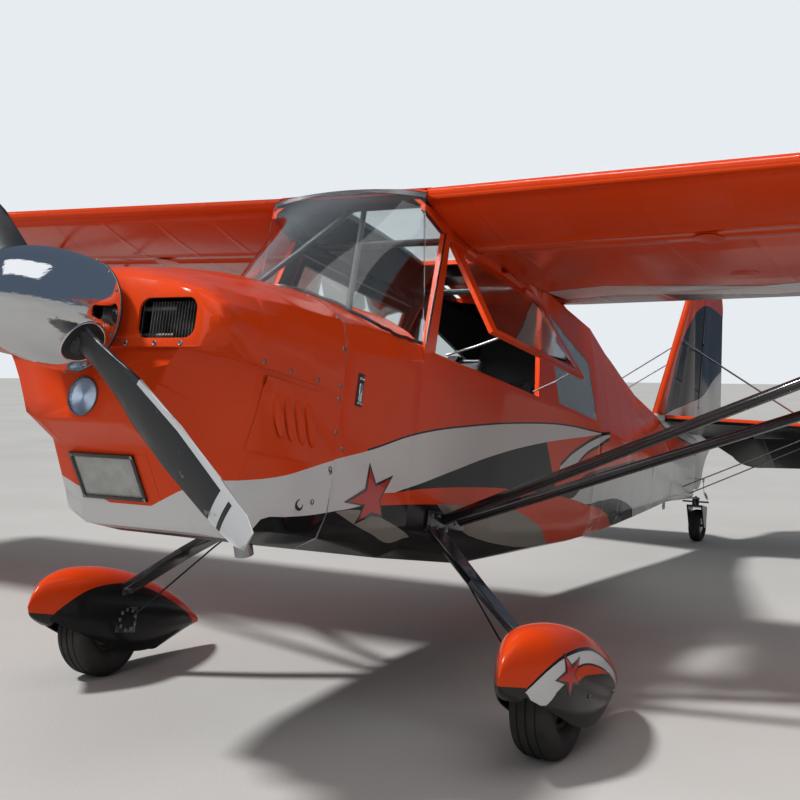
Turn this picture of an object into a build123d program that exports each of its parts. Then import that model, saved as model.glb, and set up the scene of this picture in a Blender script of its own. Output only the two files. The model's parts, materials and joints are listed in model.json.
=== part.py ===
from build123d import *
"""Two-seat strut-braced high-wing aerobatic monoplane, parked on its tailwheel gear.

Everything is drawn in the level flight frame: X forward from the firewall, Y to port, Z up
from the propeller's thrust line. seat_location() then stands the aircraft on its three tyres.
All sizes are in millimetres.
"""
import os
from collections import namedtuple
from math import asin, atan2, cos, degrees, hypot, pi, radians, sin, sqrt

# Stance
MAIN_AXLE = (-530, 965, -970)
MAIN_TYRE_RADIUS = 180
MAIN_TYRE_WIDTH = 142
TAIL_AXLE = (-5353, 0, -101)
TAIL_TYRE_RADIUS = 112
TAIL_TYRE_WIDTH = 76
TAIL_AXLE_RADIUS = 9
FORK_PIVOT = (-5272, 72.7)
KING_PIN = 9
SIDEWALL_BANDS = 3
TREAD_BANDS = 4

# Clearances
RUNNING = 0.3
SURFACE_GAP = 6
PANEL_GAP = 6

# Hinges
HINGE_PIN = 5
HINGE_PLATE = 8
HINGE_EYE = 12
HINGE_CLEAR = 5
AILERON_HINGES = (0.08, 0.5, 0.92)
RUDDER_HINGES = (250, 700, 1150, 1500)
ELEVATOR_HINGES = (420, 920, 1420)
DOOR_HINGE = (-597, -410)
DOOR_HINGES = (-150, 60)
KNUCKLE = 9
KNUCKLE_PIN = 4
KNUCKLE_HEIGHT = 24

# Wing
SPAN = 9754
CHORD = 1592
WING_THICKNESS = 0.122
WING_INCIDENCE = 1.1
DIHEDRAL = 1.2
ROOT_HALF_WIDTH = 330
WING_LE = (-515, 747)
TIP_CAP = 90
CREST_SHARE = 0.3
TRAILING_EDGE = 4

# Ailerons
AILERON_START = 2330
AILERON_END = SPAN / 2 - 287
AILERON_HINGE_SHARE = 0.79

# Fuselage skin
FLOOR_Z = -450
SKIN = 12
CABIN_WALL = 20
CROWN_STRIPS = 10
CHEEK_STRIPS = 4
FLANK_STRIPS = 3
CHINE_STRIPS = 2
WINDSHIELD_STRIPS = 12
PANT_STRIPS = 8
COWL_WALL = 8
COWL_FLANGE = 14
CABIN_FRONT = -504
CABIN_END = -2300
FIREWALL = 6
COWL_SPLIT = -80
COWL_FRONT = 722

# Propeller
PROPELLER_DIAMETER = 1880
PROPELLER_PLANE = 850
PROPELLER_ANGLE = -38.6
PROPELLER_PITCH = 1650
SPINNER_RADIUS = 163
SPINNER_BASE = 768
SPINNER_TIP = 1135
SPINNER_WALL = 3
SPINNER_BANDS = 7
BACKPLATE = 6
SHAFT_RADIUS = 30
BLADE_ROOT_RADIUS = 38
BLADE_CUFF = 70

# Tail
FIN_HALF = 20
FIN_TUBE = 22
RUDDER_HINGE = -5112
RUDDER_NOSE = 20
TAIL_HINGE = -5050
ELEVATOR_NOSE = 20
STABILIZER_Z = 516
STABILIZER_HALF_SPAN = 1545
STABILIZER_SWEEP = 0.22
TORQUE_TUBE = 13
ELEVATOR_DROOP = 24

# Struts and gear
STRUT_CHORD = 84
STRUT_THICKNESS = 34
FRONT_STRUT = ((-785, 340, -440), (-800, 2960, 690))
REAR_STRUT = ((-905, 340, -432), (-1570, 3035, 690))
JURY_SHARE = 0.55
LEG_THICKNESS = 22
AXLE_RADIUS = 16
HUB_RADIUS = 64
WIRE_RADIUS = 4
TIE_DOWN_BORE = 10
TIE_DOWN_WING = (-900, 2700, 660)
TIE_DOWN_TAIL = (-4560, 0, 2)

# Side window and door, as X, Z corners in the side view
WINDOW_OPENING = ((-580, 168), (-700, 618), (-1600, 600), (-1530, 172))
REAR_WINDOW = ((-1765, 185), (-1690, 572), (-2215, 455), (-2262, 180))
DOOR_OPENING = ((-600, -245), (-590, 130), (-715, 600), (-1600, 590), (-1500, 100), (-1390, -245))
DOOR_THICKNESS = CABIN_WALL
WINDOW_SWING = 29
WINDOW_HINGES = (0.18, 0.82)
WINDOW_HINGE_Y = (352, 335)
GLASS = 5

Hull = namedtuple(
    "Hull", "x belly half_belly chine half_chine sill half_sill eave half_eave crown"
)
FIREWALL_HULL = Hull(0, -575, 285, -455, 392, 60, 400, 150, 376, 287)
POST_HULL = Hull(CABIN_FRONT, -577, 285, -455, 392, 120, 400, 176, 386, 322)
CABIN_HULLS = [
    Hull(CABIN_FRONT, -577, 285, -455, 392, 150, 400, 700, 338, 830),
    Hull(-1150, -563, 280, -445, 392, 152, 400, 700, 338, 840),
    Hull(CABIN_END, -400, 255, -290, 368, 155, 388, 640, 290, 735),
]
TAIL_HULLS = [
    CABIN_HULLS[-1],
    Hull(-2930, -290, 205, -195, 305, 160, 318, 560, 195, 690),
    Hull(-3600, -160, 150, -95, 225, 180, 232, 475, 110, 568),
    Hull(-4200, -45, 98, 0, 145, 200, 148, 440, 62, 502),
    Hull(-5080, 74, 26, 96, 36, 250, 38, 460, 30, 490),
]

Cowl = namedtuple("Cowl", "x half_split cheek half_cheek eave half_eave crown")
UPPER_COWL = [
    Cowl(0, 400, 30, 402, 150, 376, 287),
    Cowl(280, 408, 15, 418, 132, 388, 254),
    Cowl(480, 422, 0, 440, 112, 398, 214),
    Cowl(640, 438, -5, 456, 92, 400, 172),
    Cowl(700, 432, -5, 450, 82, 392, 142),
    Cowl(COWL_FRONT, 412, -5, 430, 72, 370, 118),
]
Chin = namedtuple("Chin", "x half_split flank half_flank chine half_chine belly half_belly")
LOWER_COWL = [
    Chin(0, 400, -270, 402, -455, 392, -575, 285),
    Chin(200, 404, -265, 400, -450, 372, -575, 255),
    Chin(400, 410, -255, 384, -440, 330, -562, 215),
    Chin(450, 408, -245, 368, -400, 300, -500, 200),
    Chin(560, 384, -190, 318, -280, 262, -345, 190),
    Chin(700, 325, -150, 275, -225, 235, -285, 170),
]
INLET = (186, 388, -56, 56)
LOUVRES = 5
LOUVRE_PITCH = (-45, -30)
LOUVRE_SIZE = (12, 92)

Pant = namedtuple("Pant", "x half top low")
PANT = [
    Pant(-132, 16, -862, -892),
    Pant(-180, 62, -815, -935),
    Pant(-300, 100, -757, -985),
    Pant(-490, 118, -725, -1028),
    Pant(-700, 112, -745, -1042),
    Pant(-900, 78, -805, -1005),
    Pant(-1060, 34, -880, -955),
    Pant(-1130, 8, -915, -935),
]
PANT_WALL = 6

Blade = namedtuple("Blade", "radius chord thickness")
BLADE = [
    Blade(150, 92, 44),
    Blade(260, 128, 34),
    Blade(420, 154, 24),
    Blade(600, 143, 17),
    Blade(780, 118, 12),
    Blade(900, 92, 8),
    Blade(940, 60, 6),
]
BLADE_LEAD = 14

Leg = namedtuple("Leg", "x y z width")
LEG = [
    Leg(-735, 300, -395, 104),
    Leg(-715, 360, -424, 100),
    Leg(-600, 640, -632, 88),
    Leg(-540, 862, -800, 76),
    Leg(-530, 874, -985, 76),
]


def arc_corners(start, through, end, count):
    """Corners along the arc through three points, for a skin of flat strips."""
    (ax, ay), (bx, by), (cx, cy) = start, through, end
    a, b, c = ax * ax + ay * ay, bx * bx + by * by, cx * cx + cy * cy
    twice = 2 * (ax * (by - cy) + bx * (cy - ay) + cx * (ay - by))
    mid_x = (a * (by - cy) + b * (cy - ay) + c * (ay - by)) / twice
    mid_y = (a * (cx - bx) + b * (ax - cx) + c * (bx - ax)) / twice
    radius = hypot(ax - mid_x, ay - mid_y)
    first, middle, last = (atan2(y - mid_y, x - mid_x) for x, y in (start, through, end))
    turn = (last - first) % (2 * pi)
    if (middle - first) % (2 * pi) > turn:
        turn -= 2 * pi
    angles = [first + turn * step / count for step in range(1, count)]
    return [(mid_x + radius * cos(angle), mid_y + radius * sin(angle)) for angle in angles] + [end]


def outline(plane, start, *steps):
    """A flat face. A step is a corner, or a through point and an end point of an arc,
    with a count after them where the arc is a row of straight strips."""
    edges, here = [], start
    for step in steps:
        if len(step) == 2:
            corners = [step]
        elif len(step) == 4:
            edges.append(ThreePointArc(here, step[:2], step[2:]))
            corners, here = [], step[2:]
        else:
            corners = arc_corners(here, step[:2], step[2:4], step[4])
        for corner in corners:
            edges.append(Line(here, corner))
            here = corner
    if hypot(here[0] - start[0], here[1] - start[1]) > 1e-6:
        edges.append(Line(here, start))
    return plane * make_face(edges)


def across(x):
    """The plane across the fuselage at x, drawn as Y, Z."""
    return Plane(origin=(x, 0, 0), x_dir=(0, 1, 0), z_dir=(1, 0, 0))


def side(y=0):
    """The plane along the fuselage at y, drawn as X, Z, its normal to starboard."""
    return Plane(origin=(0, y, 0), x_dir=(1, 0, 0), z_dir=(0, -1, 0))


def side_prism(points, low, high):
    """A prism with a straight-sided X, Z outline between two Y values."""
    return extrude(outline(side(high), *points), high - low)


def box(x, y, z):
    """A block given by its low and high value along each axis."""
    size = [high - low for low, high in (x, y, z)]
    centre = [(high + low) / 2 for low, high in (x, y, z)]
    return Pos(*centre) * Box(*size)


def rod(start, end, radius):
    """A round rod between two points."""
    start, end = Vector(start), Vector(end)
    return extrude(Plane(origin=start, z_dir=end - start) * Circle(radius), (end - start).length)


def streamlined(start, end, chord, thickness):
    """A strut of streamlined section between two points, its nose in the flight direction."""
    start, end = Vector(*start), Vector(*end)
    along = (end - start).normalized()
    flight = (Vector(1, 0, 0) - along * along.X).normalized()
    plane = Plane(origin=start, x_dir=flight, z_dir=along)
    nose, tail, half = chord / 2 - thickness / 2, -chord / 2, thickness / 2
    section = outline(
        plane,
        (nose, half),
        (tail / 2, half * 0.66, tail, 0),
        (tail / 2, -half * 0.66, nose, -half),
        (chord / 2, 0, nose, half),
    )
    return extrude(section, (end - start).length)


def largest(shape):
    """The biggest solid of a shape that a cut has left in pieces."""
    return max(shape.solids(), key=lambda solid: solid.volume)


def both(shape):
    """The shape and its mirror image on the starboard side."""
    return [shape, mirror(shape, about=Plane.XZ)]


def hinge_arm(seat, centre, axis):
    """A plate from a fixed surface to an eye on a hinge line, bored for the hinge pin."""
    reach = (Vector(seat) - Vector(centre)).length
    plane = Plane(origin=centre, x_dir=Vector(seat) - Vector(centre), z_dir=axis)
    plate = Circle(HINGE_EYE) + Pos(reach / 2, 0) * Rectangle(reach, 2 * HINGE_EYE)
    arm = extrude(plane * plate, HINGE_PLATE / 2, both=True)
    return arm - extrude(plane * Circle(HINGE_PIN + RUNNING), HINGE_PLATE, both=True)


def hinged(surface, centre, axis):
    """A moving surface with a slot for a hinge arm that comes from ahead, and a pin across it."""
    plane = Plane(origin=centre, x_dir=(1, 0, 0), z_dir=axis)
    deep, half = HINGE_EYE + HINGE_CLEAR, HINGE_PLATE / 2 + HINGE_CLEAR
    tall = 4 * AILERON_NOSE
    slot = Pos((tall - deep) / 2, 0) * Rectangle(tall + deep, tall)
    surface -= extrude(plane * slot, half, both=True)
    return surface + extrude(plane * Circle(HINGE_PIN), half + 2 * HINGE_PIN, both=True)


def hull_face(hull, inset=0):
    """The closed section of the fuselage, with its skin's thickness taken off."""
    top = hull.crown - inset
    return outline(
        across(hull.x),
        (-(hull.half_belly - inset), hull.belly + inset),
        (hull.half_belly - inset, hull.belly + inset),
        (
            0.28 * hull.half_belly + 0.72 * hull.half_chine - inset,
            0.72 * hull.belly + 0.28 * hull.chine + inset,
            hull.half_chine - inset,
            hull.chine,
            CHINE_STRIPS,
        ),
        (hull.half_sill - inset, hull.sill),
        (hull.half_eave - inset, hull.eave),
        (0, top, -(hull.half_eave - inset), hull.eave, CROWN_STRIPS),
        (-(hull.half_sill - inset), hull.sill),
        (-(hull.half_chine - inset), hull.chine),
        (
            -(0.28 * hull.half_belly + 0.72 * hull.half_chine - inset),
            0.72 * hull.belly + 0.28 * hull.chine + inset,
            -(hull.half_belly - inset),
            hull.belly + inset,
            CHINE_STRIPS,
        ),
    )


def hull_solid(hulls, inset=0):
    """The fuselage volume through a list of sections."""
    return loft([hull_face(hull, inset) for hull in hulls], ruled=True)


def upper_face(cowl, inset=0):
    """The closed section of the top cowl, above the split line."""
    half = cowl.half_split - inset
    return outline(
        across(cowl.x),
        (-half, COWL_SPLIT + inset),
        (half, COWL_SPLIT + inset),
        (cowl.half_cheek - inset, cowl.cheek, cowl.half_eave - inset, cowl.eave, CHEEK_STRIPS),
        (0, cowl.crown - inset, -(cowl.half_eave - inset), cowl.eave, CROWN_STRIPS),
        (-(cowl.half_cheek - inset), cowl.cheek, -half, COWL_SPLIT + inset, CHEEK_STRIPS),
    )


def lower_face(chin, inset=0):
    """The closed section of the bottom cowl, below the split line."""
    half, low = chin.half_split - inset, chin.belly + inset
    bend = 0.3 * chin.half_belly + 0.7 * chin.half_chine - inset
    bend_z = 0.7 * chin.belly + 0.3 * chin.chine + inset
    return outline(
        across(chin.x),
        (-half, COWL_SPLIT),
        (half, COWL_SPLIT),
        (chin.half_flank - inset, chin.flank, chin.half_chine - inset, chin.chine, FLANK_STRIPS),
        (bend, bend_z, chin.half_belly - inset, low, CHINE_STRIPS),
        (-(chin.half_belly - inset), low),
        (-bend, bend_z, -(chin.half_chine - inset), chin.chine, CHINE_STRIPS),
        (-(chin.half_flank - inset), chin.flank, -half, COWL_SPLIT, FLANK_STRIPS),
    )


def stretched(sections, front, back):
    """The sections with the first and last moved along X."""
    return [sections[0]._replace(x=back), *sections[1:-1], sections[-1]._replace(x=front)]


class Airfoil:
    """A near-symmetrical section of a nose circle and two tangent arcs on each side."""

    def __init__(self, chord, ratio):
        self.chord = chord
        self.half = ratio * chord / 2
        self.crest = CREST_SHARE * chord
        self.nose = 1.1 * ratio * ratio * chord
        self.front = (self.crest**2 - 2 * self.nose * self.crest + self.half**2) / (
            2 * (self.half - self.nose)
        )
        drop = self.half - TRAILING_EDGE / 2
        self.back = ((chord - self.crest) ** 2 + drop**2) / (2 * drop)
        away = hypot(self.crest - self.nose, self.half - self.front)
        self.join = self.nose - self.nose * (self.crest - self.nose) / away
        self.join_half = self.nose * (self.front - self.half) / away

    def skin(self, aft):
        """Half the thickness at a distance behind the leading edge."""
        radius = self.front if aft < self.crest else self.back
        return self.half - radius + sqrt(radius**2 - (aft - self.crest) ** 2)

    def face(self, plane):
        """The closed section, drawn aft and up from the leading edge."""
        mid_front = (self.join + self.crest) / 2
        mid_back = (self.crest + self.chord) / 2
        front, back = self.skin(mid_front), self.skin(mid_back)
        edge = TRAILING_EDGE / 2
        return outline(
            plane,
            (self.chord, edge),
            (mid_back, back, self.crest, self.half),
            (mid_front, front, self.join, self.join_half),
            (0, 0, self.join, -self.join_half),
            (mid_front, -front, self.crest, -self.half),
            (mid_back, -back, self.chord, -edge),
        )


def rib_plane(y, aft=0):
    """The plane of a wing rib: local X runs aft and local Y up."""
    return Plane(origin=(-aft, y, 0), x_dir=(-1, 0, 0), z_dir=(0, 1, 0))


WING = Airfoil(CHORD, WING_THICKNESS)
HALF_PANEL = SPAN / 2 - ROOT_HALF_WIDTH
WING_SEAT = Location((WING_LE[0], ROOT_HALF_WIDTH, WING_LE[1]), (DIHEDRAL, -WING_INCIDENCE, 0))
HINGE_AFT = AILERON_HINGE_SHARE * CHORD
AILERON_NOSE = WING.skin(HINGE_AFT) - 1
AILERON_SPAN = (AILERON_START - ROOT_HALF_WIDTH, AILERON_END - ROOT_HALF_WIDTH)


def wing_blank():
    """The wing panel with its rounded tip cap, before the aileron is cut out of it."""
    panel = extrude(WING.face(rib_plane(0)), HALF_PANEL - TIP_CAP)
    cap_start = WING.face(rib_plane(HALF_PANEL - TIP_CAP))
    tip = Airfoil(CHORD - 150, WING_THICKNESS * 0.45)
    return panel + loft([cap_start, tip.face(rib_plane(HALF_PANEL, 90))], ruled=True)


def aileron_cove():
    """What is cut out of the wing for the aileron: a round cove and all behind it."""
    low, high = AILERON_SPAN[0] - PANEL_GAP, AILERON_SPAN[1] + PANEL_GAP
    cove = rod((-HINGE_AFT, low, 0), (-HINGE_AFT, high, 0), AILERON_NOSE + SURFACE_GAP)
    behind = box((-CHORD - 10, -HINGE_AFT), (low, high), (-CHORD / 8, CHORD / 8))
    return cove + behind


def aileron():
    """One aileron in the wing's own frame, with a round nose about its hinge line."""
    nose, edge = AILERON_NOSE, TRAILING_EDGE / 2
    mid = (HINGE_AFT + CHORD) / 2
    profile = outline(
        rib_plane(AILERON_SPAN[0]),
        (CHORD, edge),
        (mid, WING.skin(mid), HINGE_AFT, nose),
        (HINGE_AFT - nose, 0, HINGE_AFT, -nose),
        (mid, -WING.skin(mid), CHORD, -edge),
    )
    return extrude(profile, AILERON_SPAN[1] - AILERON_SPAN[0])


def wing_tip_height():
    """The height of the wing's chord line at its tip, a third of the way aft."""
    return WING_LE[1] + HALF_PANEL * sin(radians(DIHEDRAL)) - 0.3 * CHORD * sin(radians(WING_INCIDENCE))


def wings():
    """Both wing panels and both ailerons."""
    panel, flap = wing_blank() - aileron_cove(), aileron()
    cove_front = AILERON_NOSE + SURFACE_GAP - HINGE_AFT
    for share in AILERON_HINGES:
        y = AILERON_SPAN[0] + (AILERON_SPAN[1] - AILERON_SPAN[0]) * share
        centre = (-HINGE_AFT, y, 0)
        seat = (cove_front + 2 * HINGE_EYE, centre[1], 0)
        panel += hinge_arm(seat, centre, (0, 1, 0))
        flap = hinged(flap, centre, (0, 1, 0))
    left = panel.moved(WING_SEAT)
    left_aileron = flap.moved(WING_SEAT)
    return both(left), both(left_aileron)


def centre_section():
    """The wing's section carried across the cabin roof."""
    plane = rib_plane(0)
    block = extrude(WING.face(plane), 2 * ROOT_HALF_WIDTH)
    seat = Location((WING_LE[0], -ROOT_HALF_WIDTH, WING_LE[1]), (0, -WING_INCIDENCE, 0))
    return block.moved(seat)


def cowls():
    """The top and bottom engine cowls, each a hollow shell with its openings."""
    upper = loft([upper_face(cowl) for cowl in UPPER_COWL], ruled=True)
    inner = stretched(UPPER_COWL, COWL_FRONT - COWL_WALL, -1)
    upper -= loft([upper_face(cowl, COWL_WALL) for cowl in inner], ruled=True)
    inward = COWL_WALL + COWL_FLANGE
    throat = [(chin.x, chin.half_split - inward) for chin in LOWER_COWL[:-1]]
    throat = [(-2, throat[0][1]), *throat[1:], (LOWER_COWL[-1].x - inward, throat[-1][1] - 60)]
    corners = throat + [(x, -half) for x, half in reversed(throat)]
    floor = Plane(origin=(0, 0, COWL_SPLIT - 1))
    upper -= extrude(outline(floor, corners[0], *corners[1:]), COWL_WALL + 2)
    left, right, low, high = INLET
    for sign in (1, -1):
        centre = Pos(COWL_FRONT, sign * (left + right) / 2, (low + high) / 2) * Rot(0, 90, 0)
        mouth = centre * RectangleRounded(high - low, right - left, 34)
        upper -= extrude(mouth, 60, both=True)
    upper -= rod((COWL_FRONT - 60, 0, 0), (COWL_FRONT + 10, 0, 0), 66)
    lower = loft([lower_face(chin) for chin in LOWER_COWL], ruled=True)
    inner = stretched(LOWER_COWL, LOWER_COWL[-1].x - COWL_WALL, -1)
    lower -= loft([lower_face(chin, COWL_WALL) for chin in inner], ruled=True)
    lower -= box((-1, 120), (-240, 240), (-600, -520))
    lower -= rod((640, 0, -218), (760, 0, -218), 56)
    lower -= intake_frame(6, 100)
    for index in range(LOUVRES):
        x = 356 + LOUVRE_PITCH[0] * index
        z = -128 + LOUVRE_PITCH[1] * index
        for sign in (1, -1):
            slot = Pos(x, sign * 400, z) * Rot(0, -38, 0) * Box(LOUVRE_SIZE[1], 60, LOUVRE_SIZE[0])
            lower -= slot
    return upper, lower


def intake_plane():
    """The sloping face of the chin that carries the air intake."""
    top, bottom = LOWER_COWL[4], LOWER_COWL[3]
    down = Vector(bottom.x - top.x, 0, bottom.belly - top.belly).normalized()
    middle = Vector((top.x + bottom.x) / 2, 0, (top.belly + bottom.belly) / 2)
    return Plane(origin=middle, x_dir=(0, 1, 0), z_dir=Vector(0, 1, 0).cross(down * -1))


def intake_frame(margin, depth):
    """The block that the air filter fills, smaller than its frame by the margin."""
    face = intake_plane() * Rectangle(245 - 2 * margin, 150 - 2 * margin)
    return extrude(face, depth / 2, both=True)


def air_filter():
    """The intake's frame with its filter pad set back inside."""
    frame = extrude(intake_plane() * Rectangle(245, 150), 9)
    frame -= extrude(intake_plane() * Rectangle(209, 114), 20, both=True)
    pad = extrude(intake_plane() * Rectangle(232, 137), -14)
    return frame + pad


def engine_block():
    """The four-cylinder engine as one plain block with a bored nose."""
    case = box((60, 620), (-130, 130), (-170, 92))
    banks = box((130, 590), (-372, 372), (-66, 66))
    nose = rod((600, 0, 0), (705, 0, 0), 58)
    mount = box((0, 70), (-90, 90), (-120, 60))
    bore = rod((620, 0, 0), (710, 0, 0), SHAFT_RADIUS + RUNNING)
    return case + banks + nose + mount - bore


def blade_section(row, sign):
    """One lens-shaped section of a blade, turned to its pitch angle."""
    angle = radians(PROPELLER_ANGLE)
    outward = Vector(0, cos(angle), sin(angle)) * sign
    ahead = Vector(0, -sin(angle), cos(angle)) * sign
    pitch = atan2(PROPELLER_PITCH, 2 * pi * max(row.radius, 260))
    chordwise = ahead * cos(pitch) + Vector(1, 0, 0) * sin(pitch)
    origin = Vector(PROPELLER_PLANE, 0, 0) + outward * row.radius + ahead * BLADE_LEAD
    plane = Plane(origin=origin, x_dir=chordwise, z_dir=outward)
    half, edge = row.chord / 2, row.thickness * 0.16
    return outline(
        plane,
        (half, -edge),
        (half, edge),
        (half * 0.15, row.thickness * 0.72, -half, edge * 0.6),
        (-half, -edge * 0.6),
        (0, -row.thickness * 0.28, half, -edge),
    )


def propeller():
    """Two twisted blades with their roots, hub, backplate and shaft."""
    solid = rod((632, 0, 0), (SPINNER_BASE + 20, 0, 0), SHAFT_RADIUS)
    solid += rod((SPINNER_BASE - BACKPLATE, 0, 0), (SPINNER_BASE, 0, 0), SPINNER_RADIUS)
    solid += rod((SPINNER_BASE - 1, 0, 0), (PROPELLER_PLANE + 62, 0, 0), 62)
    angle = radians(PROPELLER_ANGLE)
    outward = Vector(0, cos(angle), sin(angle))
    middle = Vector(PROPELLER_PLANE, 0, 0)
    for sign in (1, -1):
        solid += rod(middle, middle + outward * (sign * 168), BLADE_ROOT_RADIUS)
        solid += loft([blade_section(row, sign) for row in BLADE], ruled=True)
    return solid


def spinner():
    """The polished spinner, a shell cut out round the blade roots."""
    def ogive(wall):
        radius, tip = SPINNER_RADIUS - wall, SPINNER_TIP - 2 * wall
        return outline(
            Plane.XY,
            (SPINNER_BASE, 0),
            (SPINNER_BASE, radius),
            (SPINNER_BASE + 40, radius),
            (SPINNER_BASE + 225, radius * 0.74, tip, 0, SPINNER_BANDS),
        )

    shell = revolve(ogive(0), axis=Axis.X) - revolve(ogive(SPINNER_WALL), axis=Axis.X)
    angle = radians(PROPELLER_ANGLE)
    outward = Vector(0, cos(angle), sin(angle)) * (SPINNER_RADIUS + 20)
    middle = Vector(PROPELLER_PLANE, 0, 0)
    return shell - rod(middle - outward, middle + outward, BLADE_CUFF)


def firewall():
    """The sheet behind the engine."""
    hull = FIREWALL_HULL
    return extrude(hull_face(hull), -FIREWALL)


def boot_solid(inset=0, front=-FIREWALL, back=CABIN_FRONT):
    """The volume between the firewall and the windshield posts."""
    return hull_solid([FIREWALL_HULL._replace(x=front), POST_HULL._replace(x=back)], inset)


def boot_space():
    """The space inside the boot cowl, from just ahead of it to just behind it."""
    return boot_solid(SKIN, -FIREWALL + 1, CABIN_FRONT - 1)


def boot_cowl():
    """The metal skin between firewall and windshield posts, open at both ends."""
    return boot_solid() - boot_space()


def cabin_solid(inset=0, grow=0):
    """The cabin's volume."""
    rows = stretched(CABIN_HULLS, CABIN_END - grow, CABIN_FRONT + grow)
    return hull_solid(rows, inset)


def cabin(wing_solids, roof_block):
    """The cabin's bottom tub, its two sides and its roof."""
    shell = cabin_solid() - cabin_solid(CABIN_WALL, 1)
    for solid in (*wing_solids, roof_block):
        shell -= solid
    span = (CABIN_END - 5, CABIN_FRONT + 5)
    tub = shell & box(span, (-450, 450), (-700, -330))
    walls = shell & box(span, (-450, 450), (-330, 720))
    port = walls & box(span, (150, 450), (-330, 720))
    starboard = walls & box(span, (-450, -150), (-330, 720))
    windows = [side_prism(corners, 200, 460) for corners in (WINDOW_OPENING, REAR_WINDOW)]
    for window in windows:
        port -= window
    starboard -= side_prism(REAR_WINDOW, -460, -200)
    starboard -= side_prism(DOOR_OPENING, -460, -200)
    half = KNUCKLE_HEIGHT / 2
    for low, high in ((-3 * half, -half - RUNNING), (half + RUNNING, 3 * half)):
        for solid in door_straps(True, low, high):
            starboard += solid
        starboard += door_knuckles(low, high)
    for z in DOOR_HINGES:
        starboard += rod((*DOOR_HINGE, z - 2 * half), (*DOOR_HINGE, z + 2 * half), KNUCKLE_PIN)
    top = roof_block - box((-CHORD + WING_LE[0] + 90, WING_LE[0] - 55), (-310, 310), (0, 760))
    hollow = box((-2010, -590), (-310, 310), (600, 805))
    top -= hollow & roof_block.moved(Location((0, 0, -22)))
    top -= box((-1560, -720), (-262, 262), (740, 900))
    return tub, port, starboard, top


def skylight(roof_block):
    """The pane in the roof opening, set in from above."""
    pane = roof_block & box((-1560 + RUNNING, -720 - RUNNING), (-262 + RUNNING, 262 - RUNNING), (740, 900))
    return pane - roof_block.moved(Location((0, 0, -GLASS - 1)))


def windshield(obstacles):
    """The wrapped pane from the cowl deck up to the wing's leading edge."""
    def crescent(ends, middle, inset):
        x, half, z = ends
        depth = hypot(middle[0] - x, middle[1] - z)
        forward = Vector(middle[0] - x, 0, middle[1] - z).normalized()
        plane = Plane(origin=(x, 0, z), x_dir=(0, 1, 0), z_dir=Vector(0, 1, 0).cross(forward))
        return outline(
            plane,
            (half, 0),
            (0, depth, -half, 0, WINDSHIELD_STRIPS),
            (-half + inset, 0),
            (0, depth - inset, half - inset, 0, WINDSHIELD_STRIPS),
        )

    base = crescent((-490, 390, 96), (-22, 232), GLASS)
    top = crescent((-668, 330, 700), (-528, 800), GLASS)
    pane = loft([base, top], ruled=True)
    for solid in obstacles:
        pane -= solid
    return max(pane.solids(), key=lambda solid: solid.volume)


def aft_fuselage():
    """The tail cone, with a bore for the elevators' torque tube."""
    cone = hull_solid(TAIL_HULLS)
    slot = rod((TAIL_HINGE, -100, STABILIZER_Z), (TAIL_HINGE, 100, STABILIZER_Z), TORQUE_TUBE + 7)
    z = RUDDER_HINGES[0]
    return cone - slot + hinge_arm((TAIL_HULLS[-1].x + 2 * HINGE_EYE, 0, z), (RUDDER_HINGE, 0, z), (0, 0, 1))


def rear_pane():
    """The fixed pane of the port rear window, flush with the skin."""
    sheet = cabin_solid() - cabin_solid(GLASS, 1)
    return sheet & side_prism(shrunk(REAR_WINDOW, RUNNING), 200, 460)


def shrunk(corners, gap):
    """The corners drawn in towards their middle by about the gap."""
    cx = sum(x for x, _ in corners) / len(corners)
    cz = sum(z for _, z in corners) / len(corners)
    result = []
    for x, z in corners:
        away = hypot(x - cx, z - cz)
        share = 1 - 1.4 * gap / away
        result.append((cx + (x - cx) * share, cz + (z - cz) * share))
    return result


def side_window(port):
    """The port window: frame and pane hinged at the top and swung out."""
    corners = shrunk(WINDOW_OPENING, PANEL_GAP)
    shell = cabin_solid() - cabin_solid(CABIN_WALL - 4, 1)
    frame = shell & side_prism(corners, 200, 460)
    glazing = shrunk(corners, 48)
    glass = (cabin_solid() - cabin_solid(GLASS, 1)) & side_prism(glazing, 200, 460)
    frame -= side_prism(glazing, 200, 460)
    (front_x, front_z), (back_x, back_z) = WINDOW_OPENING[1:3]
    front = Vector(front_x, WINDOW_HINGE_Y[0], front_z + 4)
    back = Vector(back_x, WINDOW_HINGE_Y[1], back_z + 4)
    hinge = Axis(back, front - back)
    frame, glass = frame.rotate(hinge, WINDOW_SWING), glass.rotate(hinge, WINDOW_SWING)
    along = (front - back).normalized() * 40
    for share in WINDOW_HINGES:
        middle = front + (back - front) * share
        frame += rod(middle - along, middle + along, 12)
    return frame - port, glass


def door_knuckles(low, high):
    """Hinge knuckles of the starboard door between two heights, above each hinge's middle."""
    x, y = DOOR_HINGE
    barrels = [rod((x, y, z + low), (x, y, z + high), KNUCKLE) for z in DOOR_HINGES]
    return barrels[0] + barrels[1]


def door_straps(ahead, low, high):
    """Straps from the knuckles along the skin, forward onto the cabin or aft onto the door."""
    x, y = DOOR_HINGE
    sign = 1 if ahead else -1
    solid = []
    for z in DOOR_HINGES:
        web = sorted((x, x + sign * 20))
        strap = sorted((x + sign * (KNUCKLE + HINGE_CLEAR), x + sign * 70))
        solid.append(box(web, (y + 3, y + 8), (z + low, z + high)))
        solid.append(box(strap, (y + 3, y + 30), (z + low, z + high)) - cabin_solid())
    return solid


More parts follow.
